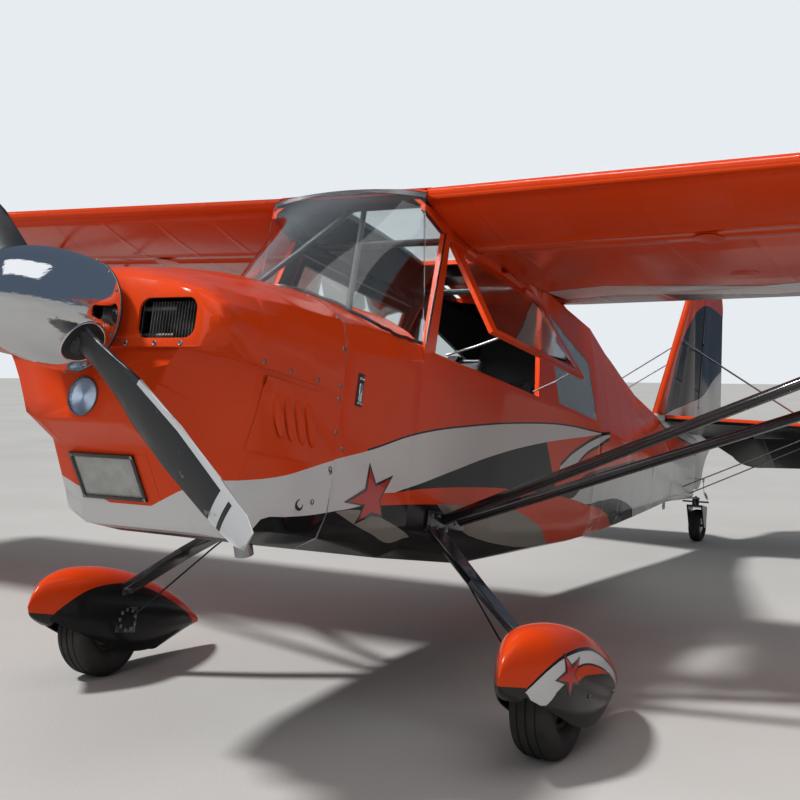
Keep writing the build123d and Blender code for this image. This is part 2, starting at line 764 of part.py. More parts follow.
def doors():
    """The starboard door and its pane."""
    corners = shrunk(DOOR_OPENING, PANEL_GAP)
    shell = cabin_solid() - cabin_solid(DOOR_THICKNESS, 1)
    leaf = shell & side_prism(corners, -460, -200)
    glazing = [(-655, 185), (-745, 560), (-1555, 548), (-1482, 185)]
    glass = (cabin_solid(4) - cabin_solid(4 + GLASS, 1)) & side_prism(glazing, -460, -200)
    leaf -= side_prism(glazing, -460, -200)
    half = KNUCKLE_HEIGHT / 2
    for solid in door_straps(False, -half, half):
        leaf += solid
    leaf += door_knuckles(-half, half)
    for z in DOOR_HINGES:
        leaf -= rod((*DOOR_HINGE, z - 2 * half), (*DOOR_HINGE, z + 2 * half), KNUCKLE_PIN + RUNNING)
    return leaf, glass


def fin():
    """The fin, on the tail cone, with its leading edge tube."""
    foot, top = (-4196, 430), (-4838, 1500)
    crown, back = (-4925, 1592), (-5084, 1622)
    plate = outline(side(), foot, top, (*crown, *back), (back[0], 430))
    body = extrude(plate, FIN_HALF, both=True)
    body += rod((foot[0], 0, foot[1]), (top[0], 0, top[1]), FIN_TUBE)
    for z in RUDDER_HINGES[1:]:
        body += hinge_arm((back[0] + 2 * HINGE_EYE, 0, z), (RUDDER_HINGE, 0, z), (0, 0, 1))
    body -= rod((TAIL_HINGE, -100, STABILIZER_Z), (TAIL_HINGE, 100, STABILIZER_Z), TORQUE_TUBE + 7)
    return body


def wedge(hinge, back, nose, edge, low, high, upright):
    """A tapering block from a hinge line to a thin trailing edge."""
    corners = ((hinge, nose), (back, edge), (back, -edge), (hinge, -nose))
    if upright:
        plane = Plane(origin=(0, 0, low), x_dir=(1, 0, 0), z_dir=(0, 0, 1))
        return extrude(outline(plane, *corners), high - low)
    return extrude(outline(side(high), *corners), high - low)


def rudder():
    """The rudder about its upright hinge line, with a narrow foot beside the sternpost."""
    hinge = RUDDER_HINGE
    plate = outline(
        side(),
        (hinge, 1624),
        (hinge, 152),
        (-5225, 140),
        (-5295, 185, -5330, 270),
        (-5420, 400, -5640, 520),
        (-5715, 570, -5742, 650),
        (-5590, 1440),
        (-5545, 1575, -5420, 1628),
        (hinge, 1640),
    )
    body = extrude(plate, RUDDER_NOSE + 5, both=True)
    body &= wedge(hinge, -5760, RUDDER_NOSE - 0.5, 6, 100, 1660, True)
    body += rod((hinge, 0, 152), (hinge, 0, 1624), RUDDER_NOSE)
    for z in RUDDER_HINGES:
        body = hinged(body, (hinge, 0, z), (0, 0, 1))
    return body


def stabilizer():
    """The port half of the fixed tailplane."""
    back = TAIL_HINGE + ELEVATOR_NOSE + SURFACE_GAP
    tip = STABILIZER_HALF_SPAN
    front = -4390 - STABILIZER_SWEEP * 1380
    plane = Plane(origin=(0, 0, STABILIZER_Z))
    plate = outline(
        plane,
        (back, FIN_HALF),
        (-4390 - STABILIZER_SWEEP * FIN_HALF, FIN_HALF),
        (front, 1380),
        (front - 70, 1512, front - 220, tip),
        (back, tip),
    )
    body = extrude(plate, ELEVATOR_NOSE, both=True)
    root = FIN_TUBE + 10
    start = (-4390 - STABILIZER_SWEEP * root, root, STABILIZER_Z)
    body += rod(start, (front, 1380, STABILIZER_Z), ELEVATOR_NOSE + 2)
    for y in ELEVATOR_HINGES:
        centre = (TAIL_HINGE, y, STABILIZER_Z)
        body += hinge_arm((back + 2 * HINGE_EYE, y, STABILIZER_Z), centre, (0, 1, 0))
    return body


def elevator():
    """Both elevators on one torque tube, hanging as they do on the ground."""
    hinge, tip = TAIL_HINGE, STABILIZER_HALF_SPAN
    plane = Plane(origin=(0, 0, STABILIZER_Z))
    plate = outline(
        plane,
        (hinge, 72),
        (hinge, tip),
        (hinge - 90, tip),
        (hinge - 290, 1490, hinge - 372, 1290),
        (hinge - 425, 420),
        (hinge - 405, 300, hinge - 290, 232),
        (hinge - 30, 82),
    )
    half = extrude(plate, ELEVATOR_NOSE + 5, both=True)
    taper = wedge(hinge, hinge - 440, ELEVATOR_NOSE - 0.5, 5, 60, tip + 5, False)
    half &= taper.moved(Location((0, 0, STABILIZER_Z)))
    half += rod((hinge, 72, STABILIZER_Z), (hinge, tip, STABILIZER_Z), ELEVATOR_NOSE)
    for y in ELEVATOR_HINGES:
        half = hinged(half, (hinge, y, STABILIZER_Z), (0, 1, 0))
    tube = rod((hinge, -80, STABILIZER_Z), (hinge, 80, STABILIZER_Z), TORQUE_TUBE)
    pair = half + mirror(half, about=Plane.XZ) + tube
    return pair.rotate(Axis((hinge, 0, STABILIZER_Z), (0, 1, 0)), -ELEVATOR_DROOP)


def gear_leg(hull):
    """One flat tapered spring leg, from the fuselage to the axle."""
    faces = []
    for index, row in enumerate(LEG):
        before, after = LEG[max(index - 1, 0)], LEG[min(index + 1, len(LEG) - 1)]
        along = Vector(after.x - before.x, after.y - before.y, after.z - before.z).normalized()
        flight = (Vector(1, 0, 0) - along * along.X).normalized()
        plane = Plane(origin=(row.x, row.y, row.z), x_dir=flight, z_dir=along)
        faces.append(plane * Rectangle(row.width, LEG_THICKNESS))
    return loft(faces, ruled=True) - hull


def axle():
    """The axle stub with the plate that bolts it to the leg."""
    x, y, z = MAIN_AXLE
    stub = rod((x, LEG[-1].y + LEG_THICKNESS / 2, z), (x, y + 62, z), AXLE_RADIUS)
    return stub


def wheel():
    """The rim with its hub, and the tyre, on the port main axle."""
    x, y, z = MAIN_AXLE
    half = MAIN_TYRE_WIDTH / 2
    radius = MAIN_TYRE_RADIUS
    plane = Plane(origin=(x, y, z), x_dir=(0, 1, 0), z_dir=(1, 0, 0))
    axis = Axis((x, y, z), (0, 1, 0))
    tyre = outline(
        plane,
        (-44, HUB_RADIUS + 16),
        (-half, 130, -half + 20, radius - 14, SIDEWALL_BANDS),
        (0, radius, half - 20, radius - 14, TREAD_BANDS),
        (half, 130, 44, HUB_RADIUS + 16, SIDEWALL_BANDS),
    )
    rim = outline(
        plane,
        (-46, AXLE_RADIUS + RUNNING),
        (-46, 40),
        (-22, 46),
        (-44, HUB_RADIUS + 16),
        (44, HUB_RADIUS + 16),
        (22, 46),
        (46, 40),
        (46, AXLE_RADIUS + RUNNING),
    )
    return revolve(tyre, axis=axis), revolve(rim, axis=axis)


def pant_face(row, inset=0):
    """One section of the wheel fairing: round above, nearly flat below."""
    y = MAIN_AXLE[1]
    half, top, low = row.half - inset, row.top - inset, row.low + inset
    shoulder = top - 0.5 * (top - low)
    corner = min(0.5 * half, 0.3 * (top - low))
    return outline(
        across(row.x),
        (y - half + corner, low),
        (y + half - corner, low),
        (y + half - 0.29 * corner, low + 0.29 * corner, y + half, low + corner, CHINE_STRIPS),
        (y + half, shoulder - 0.02 * (top - low)),
        (y, top, y - half, shoulder - 0.02 * (top - low), PANT_STRIPS),
        (y - half, low + corner),
        (y - half + 0.29 * corner, low + 0.29 * corner, y - half + corner, low, CHINE_STRIPS),
    )


def wheel_pant(leg):
    """The port wheel fairing, hollow, open under the wheel and cut out close round the leg."""
    y = MAIN_AXLE[1]
    outer = loft([pant_face(row) for row in PANT], ruled=True)
    inner = loft([pant_face(row, PANT_WALL) for row in PANT[1:-1]], ruled=True)
    mouth = box((-800, -235), (y - 84, y + 84), (-1100, -940))
    return largest(outer - inner - mouth - leg)


def tail_spring():
    """The tail's leaf spring under the sternpost."""
    thick = 12
    top = ((-4700, 24), (-5020, 68), (-5180, 84), (-5296, 88))
    leaf = outline(side(22), *top, *[(x, z - thick) for x, z in reversed(top)])
    spring = extrude(leaf, 44) - hull_solid(TAIL_HULLS)
    pivot_x, pivot_z = FORK_PIVOT
    spring += rod((pivot_x, 0, pivot_z + RUNNING), (pivot_x, 0, top[-1][1]), 24)
    return spring + rod((pivot_x, 0, pivot_z - 26), (pivot_x, 0, top[-1][1] + 8), KING_PIN)


def tailwheel():
    """The tailwheel's swivelling fork, its rim and its tyre."""
    x, _, z = TAIL_AXLE
    half = TAIL_TYRE_WIDTH / 2
    inner, outer = half + 8, half + 18
    crown_low = z + TAIL_TYRE_RADIUS + 9
    fork = rod((FORK_PIVOT[0], 0, crown_low), (FORK_PIVOT[0], 0, FORK_PIVOT[1]), 24)
    fork += box((x - 20, FORK_PIVOT[0] + 22), (-outer, outer), (crown_low, crown_low + 14))
    arm = ((FORK_PIVOT[0] + 22, crown_low + 2), (x - 20, crown_low + 2), (x - 22, z - 14), (x + 22, z - 14))
    fork += side_prism(arm, inner, outer)
    fork += side_prism(arm, -outer, -inner)
    fork += rod((x, -outer, z), (x, outer, z), TAIL_AXLE_RADIUS)
    horn_z = FORK_PIVOT[1] - 14
    fork += rod((FORK_PIVOT[0], -92, horn_z), (FORK_PIVOT[0], 92, horn_z), 6)
    head = (FORK_PIVOT[0], 0, FORK_PIVOT[1] + 1)
    fork -= rod((FORK_PIVOT[0], 0, FORK_PIVOT[1] - 28), head, KING_PIN + RUNNING)
    plane = Plane(origin=(x, 0, z), x_dir=(0, 1, 0), z_dir=(1, 0, 0))
    axis = Axis((x, 0, z), (0, 1, 0))
    radius = TAIL_TYRE_RADIUS
    bore = TAIL_AXLE_RADIUS + RUNNING
    tyre = outline(
        plane,
        (-26, 52),
        (-half, 80, -half + 12, radius - 9, SIDEWALL_BANDS),
        (0, radius, half - 12, radius - 9, TREAD_BANDS),
        (half, 80, 26, 52, SIDEWALL_BANDS),
    )
    rim = outline(plane, (-30, bore), (-30, 30), (-26, 52), (26, 52), (30, 30), (30, bore))
    return fork, revolve(rim, axis=axis), revolve(tyre, axis=axis)


def between(start, end, share):
    """The point a share of the way from one point to another."""
    return tuple(a + (b - a) * share for a, b in zip(start, end))


def cabin_floor():
    """The floor boards, level in front and rising with the belly behind."""
    thick = 20
    corners = ((-60, 0), (-1650, 0), (-2200, 78), (-2200, 78 + thick), (-1650, thick), (-60, thick))
    return side_prism([(x, FLOOR_Z - thick + z) for x, z in corners], -330, 330)


def seat(x, z, floor):
    """A seat on the floor boards: a cushioned pan and a raked back on four legs."""
    body = box((x - 200, x + 220), (-210, 210), (z, z + 90))
    back = ((x - 130, z + 88), (x - 215, z + 560), (x - 285, z + 560), (x - 200, z + 88))
    body += side_prism(back, -210, 210)
    for leg_x in (x - 170, x + 180):
        for leg_y in (-170, 170):
            body += box((leg_x - 14, leg_x + 14), (leg_y - 14, leg_y + 14), (FLOOR_Z - 90, z + 5))
    return largest(body - floor)


def cabin_frame(obstacles):
    """The V of tubes behind the windshield and the two spar carry-through tubes."""
    tubes = []
    for sign in (1, -1):
        brace = rod((-600, sign * 16, 742), (-120, sign * 306, 160), 11)
        for solid in obstacles:
            brace -= solid
        tubes.append(largest(brace))
    for x in (-812, -1575):
        spar = rod((x, -340, 652), (x, 340, 652), 14)
        for solid in obstacles:
            spar -= solid
        tubes.append(largest(spar))
    return Compound(children=tubes)


def controls(floor):
    """The two control sticks with their grips."""
    sticks = []
    for x in (-760, -1500):
        stick = rod((x, 0, FLOOR_Z - 40), (x - 40, 0, -80), 11)
        stick += rod((x - 36, 0, -110), (x - 46, 0, 20), 17)
        sticks.append(largest(stick - floor))
    return Compound(children=sticks)


def tail_bracing(obstacles):
    """Streamlined wires from the fin and the tail cone to the tailplane."""
    wires = []
    for x_plane, x_fin, x_foot in ((-4760, -4700, -4640), (-4985, -4960, -4930)):
        plane_end = (x_plane, 930, STABILIZER_Z)
        for other in ((x_fin, 0, 1090), (x_foot, 0, 60)):
            wire = rod(other, plane_end, WIRE_RADIUS)
            for solid in obstacles:
                wire -= solid
            wires += both(largest(wire))
    return Compound(children=wires)


def exhaust():
    """The exhaust stack under the cowl's exit."""
    pipe = rod((150, 150, -430), (70, 150, -612), 30)
    return pipe - rod((120, 150, -500), (68, 150, -616), 26)


def tie_down(x, y, top, obstacle):
    """An eye plate that hangs under a surface, its hole along Y."""
    drop = 46
    eye = box((x - 18, x + 18), (y - 4, y + 4), (top - drop, top + 60))
    eye += rod((x, y - 4, top - drop), (x, y + 4, top - drop), 18)
    eye -= rod((x, y - 5, top - drop), (x, y + 5, top - drop), TIE_DOWN_BORE)
    pieces = (eye - obstacle).solids()
    return min(pieces, key=lambda solid: solid.center().Z)


def build():
    """Every node of the aircraft in the level frame."""
    wing_pair, aileron_pair = wings()
    roof_block = centre_section() - wing_pair[0] - wing_pair[1]
    outer_hull = boot_solid(0, 0, CABIN_FRONT) + cabin_solid()
    nodes = {}
    nodes["cowl_upper"], nodes["cowl_lower"] = cowls()
    nodes["engine_block"] = engine_block()
    nodes["propeller_blades"] = propeller()
    nodes["spinner"] = spinner()
    nodes["firewall"] = firewall()
    nodes["boot_cowl"] = boot_cowl()
    tub, port, starboard, roof = cabin(wing_pair, roof_block)
    nodes["cabin_belly"] = tub
    nodes["cabin_side_left"] = port
    nodes["cabin_side_right"] = starboard
    nodes["cabin_roof"] = roof
    nodes["skylight"] = skylight(roof_block)
    nodes["windshield"] = windshield((*wing_pair, roof_block, outer_hull))
    nodes["aft_fuselage"] = aft_fuselage()
    nodes["rear_windows"] = Compound(children=both(rear_pane()))
    nodes["side_window_frame"], nodes["side_window_glass"] = side_window(port)
    nodes["door"], nodes["door_window"] = doors()
    nodes["wing_left"], nodes["wing_right"] = wing_pair
    nodes["aileron_left"], nodes["aileron_right"] = aileron_pair
    struts = []
    for name, (foot, head) in (("front_strut", FRONT_STRUT), ("rear_strut", REAR_STRUT)):
        strut = streamlined(foot, head, STRUT_CHORD, STRUT_THICKNESS) - outer_hull - wing_pair[0]
        strut = max(strut.solids(), key=lambda solid: solid.volume)
        struts += both(strut)
        nodes[f"{name}_left"], nodes[f"{name}_right"] = struts[-2:]
    jury = []
    for foot, head in (FRONT_STRUT, REAR_STRUT):
        x, y, z = between(foot, head, JURY_SHARE)
        post = rod((x, y, z), (x, y, z + 560), 9) - wing_pair[0] - struts[0] - struts[2]
        post = max([s for s in post.solids() if s.center().Z < 700], key=lambda solid: solid.volume)
        jury += both(post)
    nodes["jury_struts"] = Compound(children=jury)
    legs = both(gear_leg(outer_hull))
    nodes["gear_leg_left"], nodes["gear_leg_right"] = legs
    nodes["axles"] = Compound(children=both(axle()))
    tyre, rim = wheel()
    nodes["tyre_left"], nodes["tyre_right"] = both(tyre)
    nodes["rim_left"], nodes["rim_right"] = both(rim)
    nodes["wheel_pant_left"], nodes["wheel_pant_right"] = both(wheel_pant(legs[0]))
    nodes["fin"] = fin() - nodes["aft_fuselage"]
    nodes["stabilizer"] = Compound(children=both(stabilizer()))
    nodes["elevator"] = elevator()
    nodes["rudder"] = rudder()
    nodes["tail_spring"] = tail_spring()
    nodes["tailwheel_fork"], nodes["tail_rim"], nodes["tail_tyre"] = tailwheel()
    nodes["air_filter"] = air_filter()
    nodes["landing_light"] = rod((660, 0, -218), (706, 0, -218), 55.5)
    nodes["cabin_floor"] = largest(cabin_floor() - tub - starboard - port - nodes["boot_cowl"])
    nodes["instrument_panel"] = box((-372, -352), (-450, 450), (-90, 400)) & boot_space()
    nodes["seat_front"] = seat(-1080, -270, nodes["cabin_floor"])
    nodes["seat_rear"] = seat(-1880, -240, nodes["cabin_floor"])
    nodes["cabin_frame"] = cabin_frame((roof, port, starboard, nodes["boot_cowl"], nodes["windshield"]))
    nodes["controls"] = controls(nodes["cabin_floor"])
    braced = (nodes["fin"], nodes["aft_fuselage"], nodes["stabilizer"])
    nodes["tail_bracing"] = tail_bracing(braced)
    nodes["exhaust"] = exhaust() - nodes["cowl_lower"]
    eyes = both(tie_down(*TIE_DOWN_WING, wing_pair[0]))
    eyes.append(tie_down(*TIE_DOWN_TAIL, nodes["aft_fuselage"]))
    nodes["tie_downs"] = Compound(children=eyes)
    tip = (WING_LE[0] - 0.3 * CHORD, SPAN / 2 - 30, wing_tip_height())
    light = rod(tip, (tip[0], tip[1] + 52, tip[2]), 20) - wing_pair[0]
    light = max(light.solids(), key=lambda solid: solid.center().Y)
    nodes["wingtip_light_left"], nodes["wingtip_light_right"] = both(light)
    return nodes


def stance():
    """Ground pitch angle in degrees and the level frame's height above the ground."""
    ahead = MAIN_AXLE[0] - TAIL_AXLE[0]
    rise = MAIN_AXLE[2] - TAIL_AXLE[2]
    lift = MAIN_TYRE_RADIUS - TAIL_TYRE_RADIUS
    pitch = asin(lift / hypot(ahead, rise)) + atan2(-rise, ahead)
    height = MAIN_TYRE_RADIUS - MAIN_AXLE[0] * sin(pitch) - MAIN_AXLE[2] * cos(pitch)
    return degrees(pitch), height


def seat_location(nodes):
    """The move from the level frame to the parked one, centred over the ground."""
    pitch, height = stance()
    turn = Location((0, 0, height), (0, -pitch, 0))
    nose = nodes["spinner"].moved(turn).bounding_box().max.X
    tail = nodes["rudder"].moved(turn).bounding_box().min.X
    return Location((-(nose + tail) / 2, 0, height), (0, -pitch, 0))


def main():
    os.makedirs("parts", exist_ok=True)
    nodes = build()
    parked = seat_location(nodes)
    for name, shape in nodes.items():
        export_step(shape.moved(parked), f"parts/{name}.step")


if __name__ == "__main__":
    main()
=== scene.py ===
# %% [markdown]
# A two-seat, high-wing aerobatic aircraft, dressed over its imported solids.
# The solids hold the size and place of every part. This lesson gives them paint, glass and metal,
# and adds the small things that a solid model leaves out: screws, cooling fins, tread, straps, dials.

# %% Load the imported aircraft
import json
from contextlib import contextmanager
from math import cos, exp, pi, radians, sin

import bpy
from mathutils import Matrix, Vector


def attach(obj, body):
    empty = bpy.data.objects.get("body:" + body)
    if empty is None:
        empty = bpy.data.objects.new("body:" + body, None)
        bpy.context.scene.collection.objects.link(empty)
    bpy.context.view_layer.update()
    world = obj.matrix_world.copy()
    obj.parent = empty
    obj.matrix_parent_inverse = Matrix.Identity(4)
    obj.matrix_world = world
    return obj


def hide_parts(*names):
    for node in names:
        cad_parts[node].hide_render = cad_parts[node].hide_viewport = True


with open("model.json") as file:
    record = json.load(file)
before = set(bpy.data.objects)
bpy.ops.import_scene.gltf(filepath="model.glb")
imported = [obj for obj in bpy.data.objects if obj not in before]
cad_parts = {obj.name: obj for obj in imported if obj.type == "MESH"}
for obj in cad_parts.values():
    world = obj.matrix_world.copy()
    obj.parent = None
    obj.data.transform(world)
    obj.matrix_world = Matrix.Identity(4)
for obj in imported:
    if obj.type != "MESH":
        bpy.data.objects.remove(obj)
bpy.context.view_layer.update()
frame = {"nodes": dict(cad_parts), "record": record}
nodes = frame["nodes"]
bodies = frame["record"]["behaviour"]["bodies"]
body_of_node = {name: body for body, names in bodies.items() for name in names}

# %% [markdown]
# An aircraft is drawn level, in its flight attitude, and then stands tail down on its wheels.
# All places below are drawn in that level frame, in metres: x forward from the firewall, y to port,
# z up from the propeller's thrust line. One matrix then parks a finished piece.

# %% From the level frame to the parked one
NOSE_UP = radians(11.0089)
THRUST_LINE = Vector((2.3279, 0, 1.23336))
PARK = Matrix.Translation(THRUST_LINE) @ Matrix.Rotation(-NOSE_UP, 4, "Y")
PORT, STARBOARD = 1, -1
BOTH_SIDES = (PORT, STARBOARD)
PORT_NAMES = ((PORT, "port"), (STARBOARD, "starboard"))
LEFT_NAMES = ((PORT, "left"), (STARBOARD, "right"))


def parked(x, y, z):
    """A level place in the parked frame."""
    return PARK @ Vector((x, y, z))


def level(point):
    """A parked place in the level frame."""
    return PARK.inverted() @ point


print("parked nose up", round(NOSE_UP, 4), "rad")

# %% [markdown]
# Every piece goes the same way: its parts are joined, their places are written into the mesh, the
# shading is smoothed up to an angle, and the piece gets its name, its paint and the body it rides on.

# %% From loose parts to a finished piece
def alone(obj):
    """Selects one object and makes it the active one, because an operator acts on all that is selected."""
    bpy.ops.object.select_all(action="DESELECT")
    obj.select_set(True)
    bpy.context.view_layer.objects.active = obj
    return obj


def settle(obj, park=True):
    """Writes an object's place into its mesh, after parking it."""
    if park:
        obj.matrix_world = PARK @ obj.matrix_world
    alone(obj)
    bpy.ops.object.transform_apply(location=True, rotation=True, scale=True)
    return obj


def join(parts):
    """One object from several."""
    bpy.ops.object.select_all(action="DESELECT")
    for part in parts:
        part.select_set(True)
    bpy.context.view_layer.objects.active = parts[0]
    if len(parts) > 1:
        bpy.ops.object.join()
    return parts[0]


def soften(obj, angle=30):
    """Smooth shading that keeps the edges sharper than the angle."""
    alone(obj)
    bpy.ops.object.shade_smooth_by_angle(angle=radians(angle))
    return obj


def fit(obj, name, body, finish, replaced=()):
    """Names a finished piece, paints it, and hangs it on its body."""
    obj.name = name
    obj.data.name = name
    obj.data.materials.clear()
    obj.data.materials.append(finish)
    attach(obj, body)
    if replaced:
        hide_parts(*replaced)
    return obj


def piece(parts, name, finish, body="airframe", replaced=(), angle=40):
    """Joins parts that lie in the level frame, parks them and finishes them as one piece."""
    return fit(soften(settle(join(parts)), angle), name, body, finish, replaced)


print("helpers for pieces ready")

# %% [markdown]
# The camera stands at the height of a person's chest, ahead of the port wheel, and looks back along
# the fuselage. Its place and lens were worked out from where the wheels and wing tips are seen.

# %% Camera
CAMERA_PLACE = Vector((5.5516, 2.4766, 1.2616))
CAMERA_YAW, CAMERA_PITCH, CAMERA_ROLL = 3.66810774, -0.03286612, 0.00831891
LENS_MM = 54.67
SENSOR_MM = 36
SIGHT_END = 300
bpy.ops.object.camera_add()
camera = bpy.context.object
camera.name = "camera"
camera.data.lens = LENS_MM
camera.data.sensor_width = SENSOR_MM
camera.data.clip_end = SIGHT_END
aim = Matrix.Rotation(CAMERA_YAW - pi / 2, 4, "Z") @ Matrix.Rotation(pi / 2 + CAMERA_PITCH, 4, "X")
camera.matrix_world = Matrix.Translation(CAMERA_PLACE) @ aim @ Matrix.Rotation(CAMERA_ROLL, 4, "Z")
bpy.context.scene.camera = camera
bpy.context.scene.view_settings.view_transform = "Standard"
print("camera at", tuple(round(v, 2) for v in CAMERA_PLACE))

# %% [markdown]
# A material is a small tree of nodes. A painted scheme needs much arithmetic on the place of a
# point, and each sum is a Math node. A Field wraps a node's output, so that the sum can be written
# like any other: adding two fields makes the Add node and joins its sockets.

# %% Arithmetic with nodes
MIX_FACTOR, MIX_UNDER, MIX_OVER, MIX_RESULT = 0, 6, 7, 2


def feed(tree, socket, value):
    """Joins an input to another node's output, or gives it a constant."""
    source = getattr(value, "socket", value)
    if hasattr(source, "is_linked"):
        tree.links.new(source, socket)
    elif socket.type == "RGBA" and len(source) == 3:
        socket.default_value = (*source, 1)
    else:
        socket.default_value = source


def add(tree, kind, **settings):
    """A new node with its settings and, by number or name, its input values."""
    made = tree.nodes.new("ShaderNode" + kind)
    inputs = settings.pop("inputs", {})
    for key, value in settings.items():
        setattr(made, key, value)
    for key, value in inputs.items():
        feed(tree, made.inputs[key], value)
    return made


class Field:
    """A node's output to reckon with. A comparison gives a mask, which is 1 where it holds."""

    def __init__(self, tree, socket):
        self.tree = tree
        self.socket = socket

    def maths(self, operation, *values):
        """The result of one Math node that starts with this value."""
        made = add(self.tree, "Math", operation=operation, inputs=dict(enumerate((self, *values))))
        return Field(self.tree, made.outputs[0])

    def __add__(self, other):
        return self.maths("ADD", other)

    def __sub__(self, other):
        return self.maths("SUBTRACT", other)

    def __mul__(self, other):
        return self.maths("MULTIPLY", other)

    def __and__(self, other):
        return self.maths("MULTIPLY", other)

    def __gt__(self, other):
        return self.maths("GREATER_THAN", other)

    def __lt__(self, other):
        return self.maths("LESS_THAN", other)

    def __abs__(self):
        return self.maths("ABSOLUTE")

    def within(self, low, high):
        """A mask of the values between two limits."""
        return (self > low) & (self < high)

    def spread(self, low, high, new_low, new_high, **settings):
        """The value carried over from one range to another."""
        inputs = dict(enumerate((self, low, high, new_low, new_high)))
        return Field(self.tree, add(self.tree, "MapRange", inputs=inputs, **settings).outputs[0])


def mix(mask, under, over):
    """One colour laid over another where the mask is 1."""
    inputs = {MIX_FACTOR: mask, MIX_UNDER: under, MIX_OVER: over}
    return Field(mask.tree, add(mask.tree, "Mix", data_type="RGBA", inputs=inputs).outputs[MIX_RESULT])


def layered(colour, layers):
    """Coats of paint laid one over another; each layer is a mask and its colour."""
    for mask, paint in layers:
        colour = mix(mask, colour, paint)
    return colour


print("fields ready")

# %% [markdown]
# No real surface is even. These helpers give every finish what it needs to look used: a fine bump,
# gloss that wanders, and colour that drifts between two shades.

# %% Helpers for finishes
COAT_ROUGHNESS = 0.03
GRAIN_DETAIL, GLOSS_DETAIL, MOTTLE_DETAIL = 3.0, 5.0, 6.0


def set_shader(made, values):
    """Sets or joins inputs of a material's own shader, by their names."""
    tree = made.node_tree
    for name, value in values.items():
        feed(tree, tree.nodes["Principled BSDF"].inputs[name], value)


def new_finish(name, colour, roughness, metallic=0.0, coat=0.0):
    """A material with its even values set on the shader itself."""
    made = bpy.data.materials.new(name)
    made.use_nodes = True
    set_shader(made, {"Base Color": colour, "Roughness": roughness, "Metallic": metallic,
                      "Coat Weight": coat, "Coat Roughness": COAT_ROUGHNESS})
    return made


def place_on(made):
    """The point on the piece, in the parked frame."""
    return add(made.node_tree, "TexCoord").outputs["Object"]


def noise_on(made, scale, detail):
    """A cloudy value between 0 and 1 over the piece."""
    inputs = {"Vector": place_on(made), "Scale": scale, "Detail": detail}
    return Field(made.node_tree, add(made.node_tree, "TexNoise", inputs=inputs).outputs[0])


def raise_by(made, height, depth):
    """A bump from any height value, laid over any bump that is there already."""
    tree = made.node_tree
    normal = tree.nodes["Principled BSDF"].inputs["Normal"]
    bump = add(tree, "Bump", inputs={"Height": height, "Distance": depth, "Strength": 1.0})
    if normal.is_linked:
        tree.links.new(normal.links[0].from_socket, bump.inputs["Normal"])
    tree.links.new(bump.outputs[0], normal)


def grain(made, scale, depth, stretch=(1, 1, 1)):
    """A noise bump, laid over any bump that is there already."""
    tree = made.node_tree
    stretched = add(tree, "Mapping", inputs={"Vector": place_on(made), "Scale": stretch})
    inputs = {"Vector": stretched.outputs[0], "Scale": scale, "Detail": GRAIN_DETAIL}
    raise_by(made, add(tree, "TexNoise", inputs=inputs).outputs[0], depth)


def uneven_gloss(made, low, high, scale):
    """Roughness that wanders between two values, as handled or dusty surfaces do."""
    set_shader(made, {"Roughness": noise_on(made, scale, GLOSS_DETAIL).spread(0.3, 0.7, low, high)})


def mottle(made, colour, second, scale, share=1.0):
    """Colour that drifts between two shades."""
    mask = noise_on(made, scale, MOTTLE_DETAIL).spread(0.35, 0.7, 0.0, share)
    set_shader(made, {"Base Color": mix(mask, colour, second)})


print("helpers for finishes ready")

# %% [markdown]
# The paint scheme runs along the whole side of the aircraft, over cowl, doors, cabin and tail cone,
# so it can't belong to one panel. Painters mask it by measured points along the side. The same is
# done here: each edge is a curve of height against distance, held in a Float Curve node, and a
# colour lies above or below it. One node group holds the scheme, and every skin uses it.

# %% Colours and edges of the scheme
RED = (0.66, 0.052, 0.006)
WHITE = (0.60, 0.60, 0.60)
BLACK = (0.010, 0.010, 0.011)
GRAPHITE = (0.030, 0.029, 0.027)
# BELLY_PAINTED_SHADE is painted shade: the white belly paint darkened to the grey it shows in shade.
BELLY_PAINTED_SHADE = (0.24, 0.23, 0.20)
EDGE_X, EDGE_Z = (-6.0, 1.0), (-1.25, 2.0)
RED_EDGE = ((-2.42, .14), (-2.344, .132), (-1.838, .095), (-1.455, .045), (-.917, -.048), (-.505, -.139),
            (-.22, -.23), (.024, -.298), (.118, -.329), (.267, -.377), (.411, -.405), (.498, -.419),
            (.6, -.47), (.72, -.52))
BLACK_EDGE = ((-2.5, .145), (-2.42, .142), (-2.134, .088), (-1.596, -.018), (-1.145, -.128), (-.799, -.233),
              (-.574, -.303), (-.42, -.347), (-.282, -.392), (-.151, -.427), (-.02, -.452), (.077, -.472),
              (.173, -.486), (.255, -.498), (.285, -.552), (.34, -.66))
TRAIL_TOP = ((-3.3, -.2), (-2.716, -.262), (-2.363, -.233), (-2.054, -.216), (-1.35, -.241), (-.966, -.274),
             (-.595, -.319), (-.369, -.356), (-.2, -.37))
TRAIL_LOW = ((-3.3, -.6), (-2.2, -.52), (-1.846, -.424), (-1.674, -.364), (-1.276, -.32), (-.981, -.342),
             (-.606, -.373), (-.318, -.404), (-.2, -.42))
FLAME_LOW = ((-2.4, -.37), (-2.1, -.41), (-1.4, -.47), (-1.0, -.455), (-.75, -.38), (-.6, -.3))
AFT_WHITE = ((-5.2, .36), (-4.4, .27), (-3.9, .21), (-3.5, .14), (-3.22, .07), (-2.774, -.02), (-2.393, -.09),
             (-2.176, -.14), (-2.0, -.215))
STRIPE_TOP = ((-2.55, .15), (-2.411, .133), (-2.251, .091), (-2.068, .022), (-1.96, -.025), (-1.867, -.078),
              (-1.84, -.09))
STRIPE_LOW = ((-2.55, .146), (-2.47, .128), (-2.335, .083), (-2.176, .027), (-2.084, -.023), (-2.032, -.060),
              (-1.92, -.11), (-1.84, -.13))
STRIPE_LINE, AFT_BLACK = 0.016, 0.055
